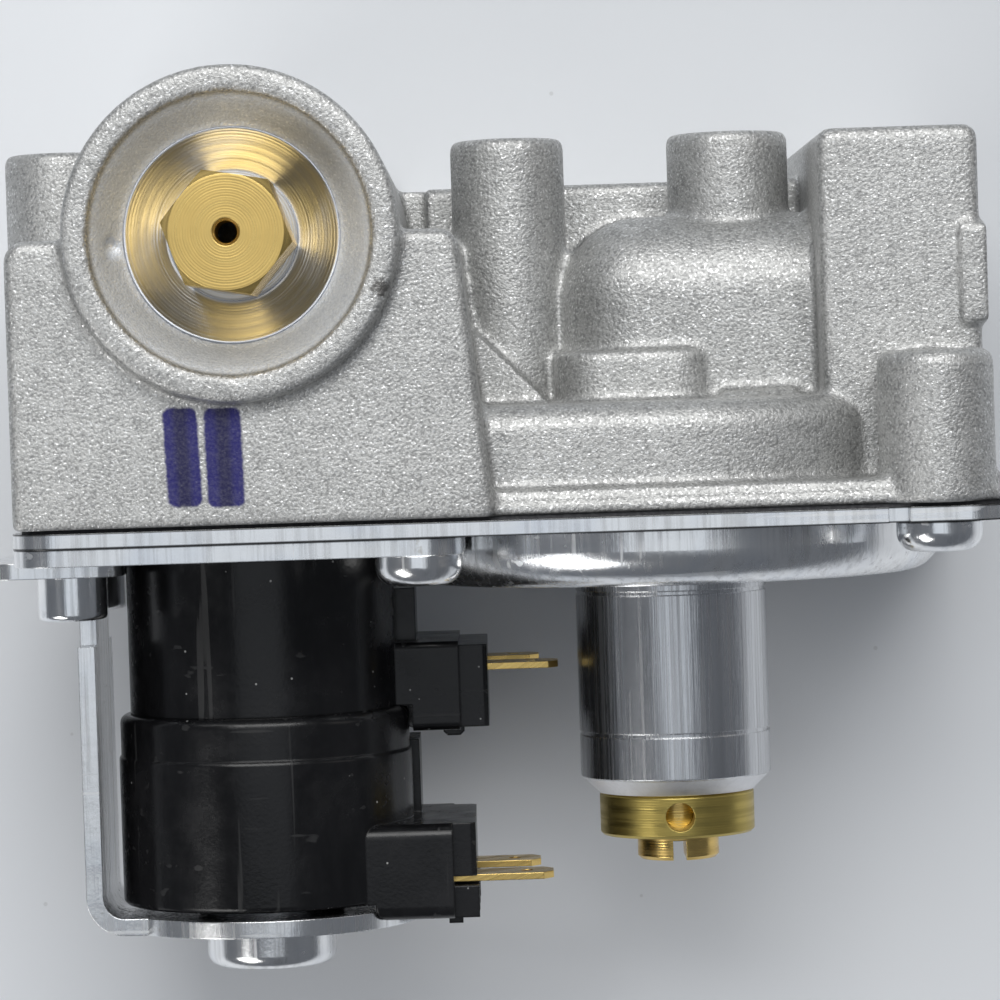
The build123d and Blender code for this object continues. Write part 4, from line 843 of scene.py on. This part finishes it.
class GASVALVE_OT_gas_way(bpy.types.Operator):
    """Finish the injector, the strainer and the solenoid core parts"""

    bl_idname = "gas_valve.gas_way"
    bl_label = "Gas way"

    def execute(self, context):
        metals = context.scene.gas_valve_metals
        dress(
            "outlet_injector",
            turned_finish(
                "brass_injector_turned", metals.brass, 0.3 * MM, None, 0.6, 0.27, 0.014 * MM, 0.4, 0.62
            ),
        )
        dress(
            "injector_seal", turned_finish("turned_aluminium_seal", metals.turned, 0.3 * MM, None, 0.4, 0.3)
        )
        plain = turned_finish(
            "plain_steel_turned", (0.5, 0.5, 0.52), 0.3 * MM, (0.0, regulator_axis.z), 0.9, 0.3
        )
        for node in (
            "middle_flux_washer", "fixed_core", "first_plunger", "first_disc_holder", "second_plunger",
            "second_disc_holder", "spring_follower",
        ):
            dress(node, plain)
        tube = turned_finish("brass_tube_drawn", metals.brass, 0.4 * MM, (0.0, regulator_axis.z), 0.9, 0.25)
        for node in ("guide_tube", "inlet_strainer"):
            dress(node, tube)
        return {"FINISHED"}


def add_light(name, place, aim, width, height, brightness, colour):
    """A soft box at place that faces aim; brightness is what its face shows."""
    lamp = bpy.data.lights.new(name, "AREA")
    lamp.shape = "RECTANGLE"
    lamp.size = width
    lamp.size_y = height
    lamp.energy = brightness * math.pi * width * height
    lamp.color = colour
    piece = bpy.data.objects.new(name, lamp)
    bpy.context.scene.collection.objects.link(piece)
    towards = (Vector(aim) - Vector(place)).to_track_quat("-Z", "Y").to_matrix().to_4x4()
    piece.matrix_world = Matrix.Translation(place) @ towards
    return piece


class GASVALVE_OT_stage(bpy.types.Operator):
    """Set the table, the soft lights and the camera"""

    bl_idname = "gas_valve.stage"
    bl_label = "Table, lights and camera"

    def execute(self, context):
        stage = context.scene.gas_valve_stage
        half = stage.table_width / 2
        mesh = bpy.data.meshes.new("table_top")
        floor_z = cad_low.z
        mesh.from_pydata(
            [(-half, -half, floor_z), (half, -half, floor_z), (half, half, floor_z), (-half, half, floor_z)],
            [], [(0, 1, 2, 3)]
        )
        link("table_top", mesh, table_finish(stage), smooth=False)
        middle = ((cad_low + cad_high) / 2).to_tuple()
        add_light("low_left_box", (-0.40, -0.40, 0.46), middle, 0.42, 0.28, 4.2, (1.0, 0.99, 0.97))
        add_light("back_box", (0.06, 0.64, 0.95), middle, 1.0, 0.6, 5.3, (1.0, 1.0, 0.99))
        add_light("overhead_box", (0.04, 0.10, 1.25), middle, 0.9, 0.7, 0.6, (0.90, 0.95, 1.0))
        add_light("right_box", (0.95, 0.25, 0.42), middle, 0.4, 0.4, 0.8, (1.0, 0.93, 0.86))
        world = context.scene.world or bpy.data.worlds.new("room")
        context.scene.world = world
        world.use_nodes = True
        sky = world.node_tree.nodes["Background"]
        sky.inputs["Color"].default_value = (0.82, 0.88, 0.98, 1.0)
        sky.inputs["Strength"].default_value = 0.15
        context.scene.view_settings.view_transform = "Standard"
        lens = bpy.data.cameras.new("camera")
        lens.lens = stage.lens
        lens.sensor_width = 36.0
        lens.clip_start = 0.01
        camera = bpy.data.objects.new("camera", lens)
        context.scene.collection.objects.link(camera)
        turn = Matrix.Rotation(stage.turn, 4, "Z") @ Matrix.Rotation(stage.tilt, 4, "X")
        camera.matrix_world = Matrix.Translation(stage.camera_place) @ turn
        context.scene.camera = camera
        return {"FINISHED"}


class GASVALVE_PT_sidebar(bpy.types.Panel):
    """Lists the valve's pieces and sizes"""

    bl_idname = "GASVALVE_PT_sidebar"
    bl_label = "Gas valve"
    bl_space_type = "VIEW_3D"
    bl_region_type = "UI"
    bl_category = "Gas valve"

    def draw(self, context):
        for name, group in GROUPS.items():
            box = self.layout.box()
            sizes = getattr(context.scene, name)
            for label in group.__annotations__:
                box.prop(sizes, label)
        for operator in OPERATORS:
            self.layout.operator(operator.bl_idname)


GROUPS = {
    "gas_valve_casting": GasValveCasting,
    "gas_valve_metals": GasValveMetals,
    "gas_valve_plastics": GasValvePlastics,
    "gas_valve_stage": GasValveStage,
}
OPERATORS = (
    GASVALVE_OT_stage,
    GASVALVE_OT_casting,
    GASVALVE_OT_sheets,
    GASVALVE_OT_fasteners,
    GASVALVE_OT_coils,
    GASVALVE_OT_regulator,
    GASVALVE_OT_gas_way,
)


def register():
    for group in (*GROUPS.values(), *OPERATORS, GASVALVE_PT_sidebar):
        bpy.utils.register_class(group)
    for name, group in GROUPS.items():
        setattr(bpy.types.Scene, name, bpy.props.PointerProperty(type=group))


def unregister():
    for name in GROUPS:
        delattr(bpy.types.Scene, name)
    for group in reversed((*GROUPS.values(), *OPERATORS, GASVALVE_PT_sidebar)):
        bpy.utils.unregister_class(group)


def main():
    register()
    bpy.ops.gas_valve.stage()
    bpy.ops.gas_valve.casting()
    bpy.ops.gas_valve.sheets()
    bpy.ops.gas_valve.fasteners()
    bpy.ops.gas_valve.coils()
    bpy.ops.gas_valve.regulator()
    bpy.ops.gas_valve.gas_way()


if __name__ == "__main__":
    main()
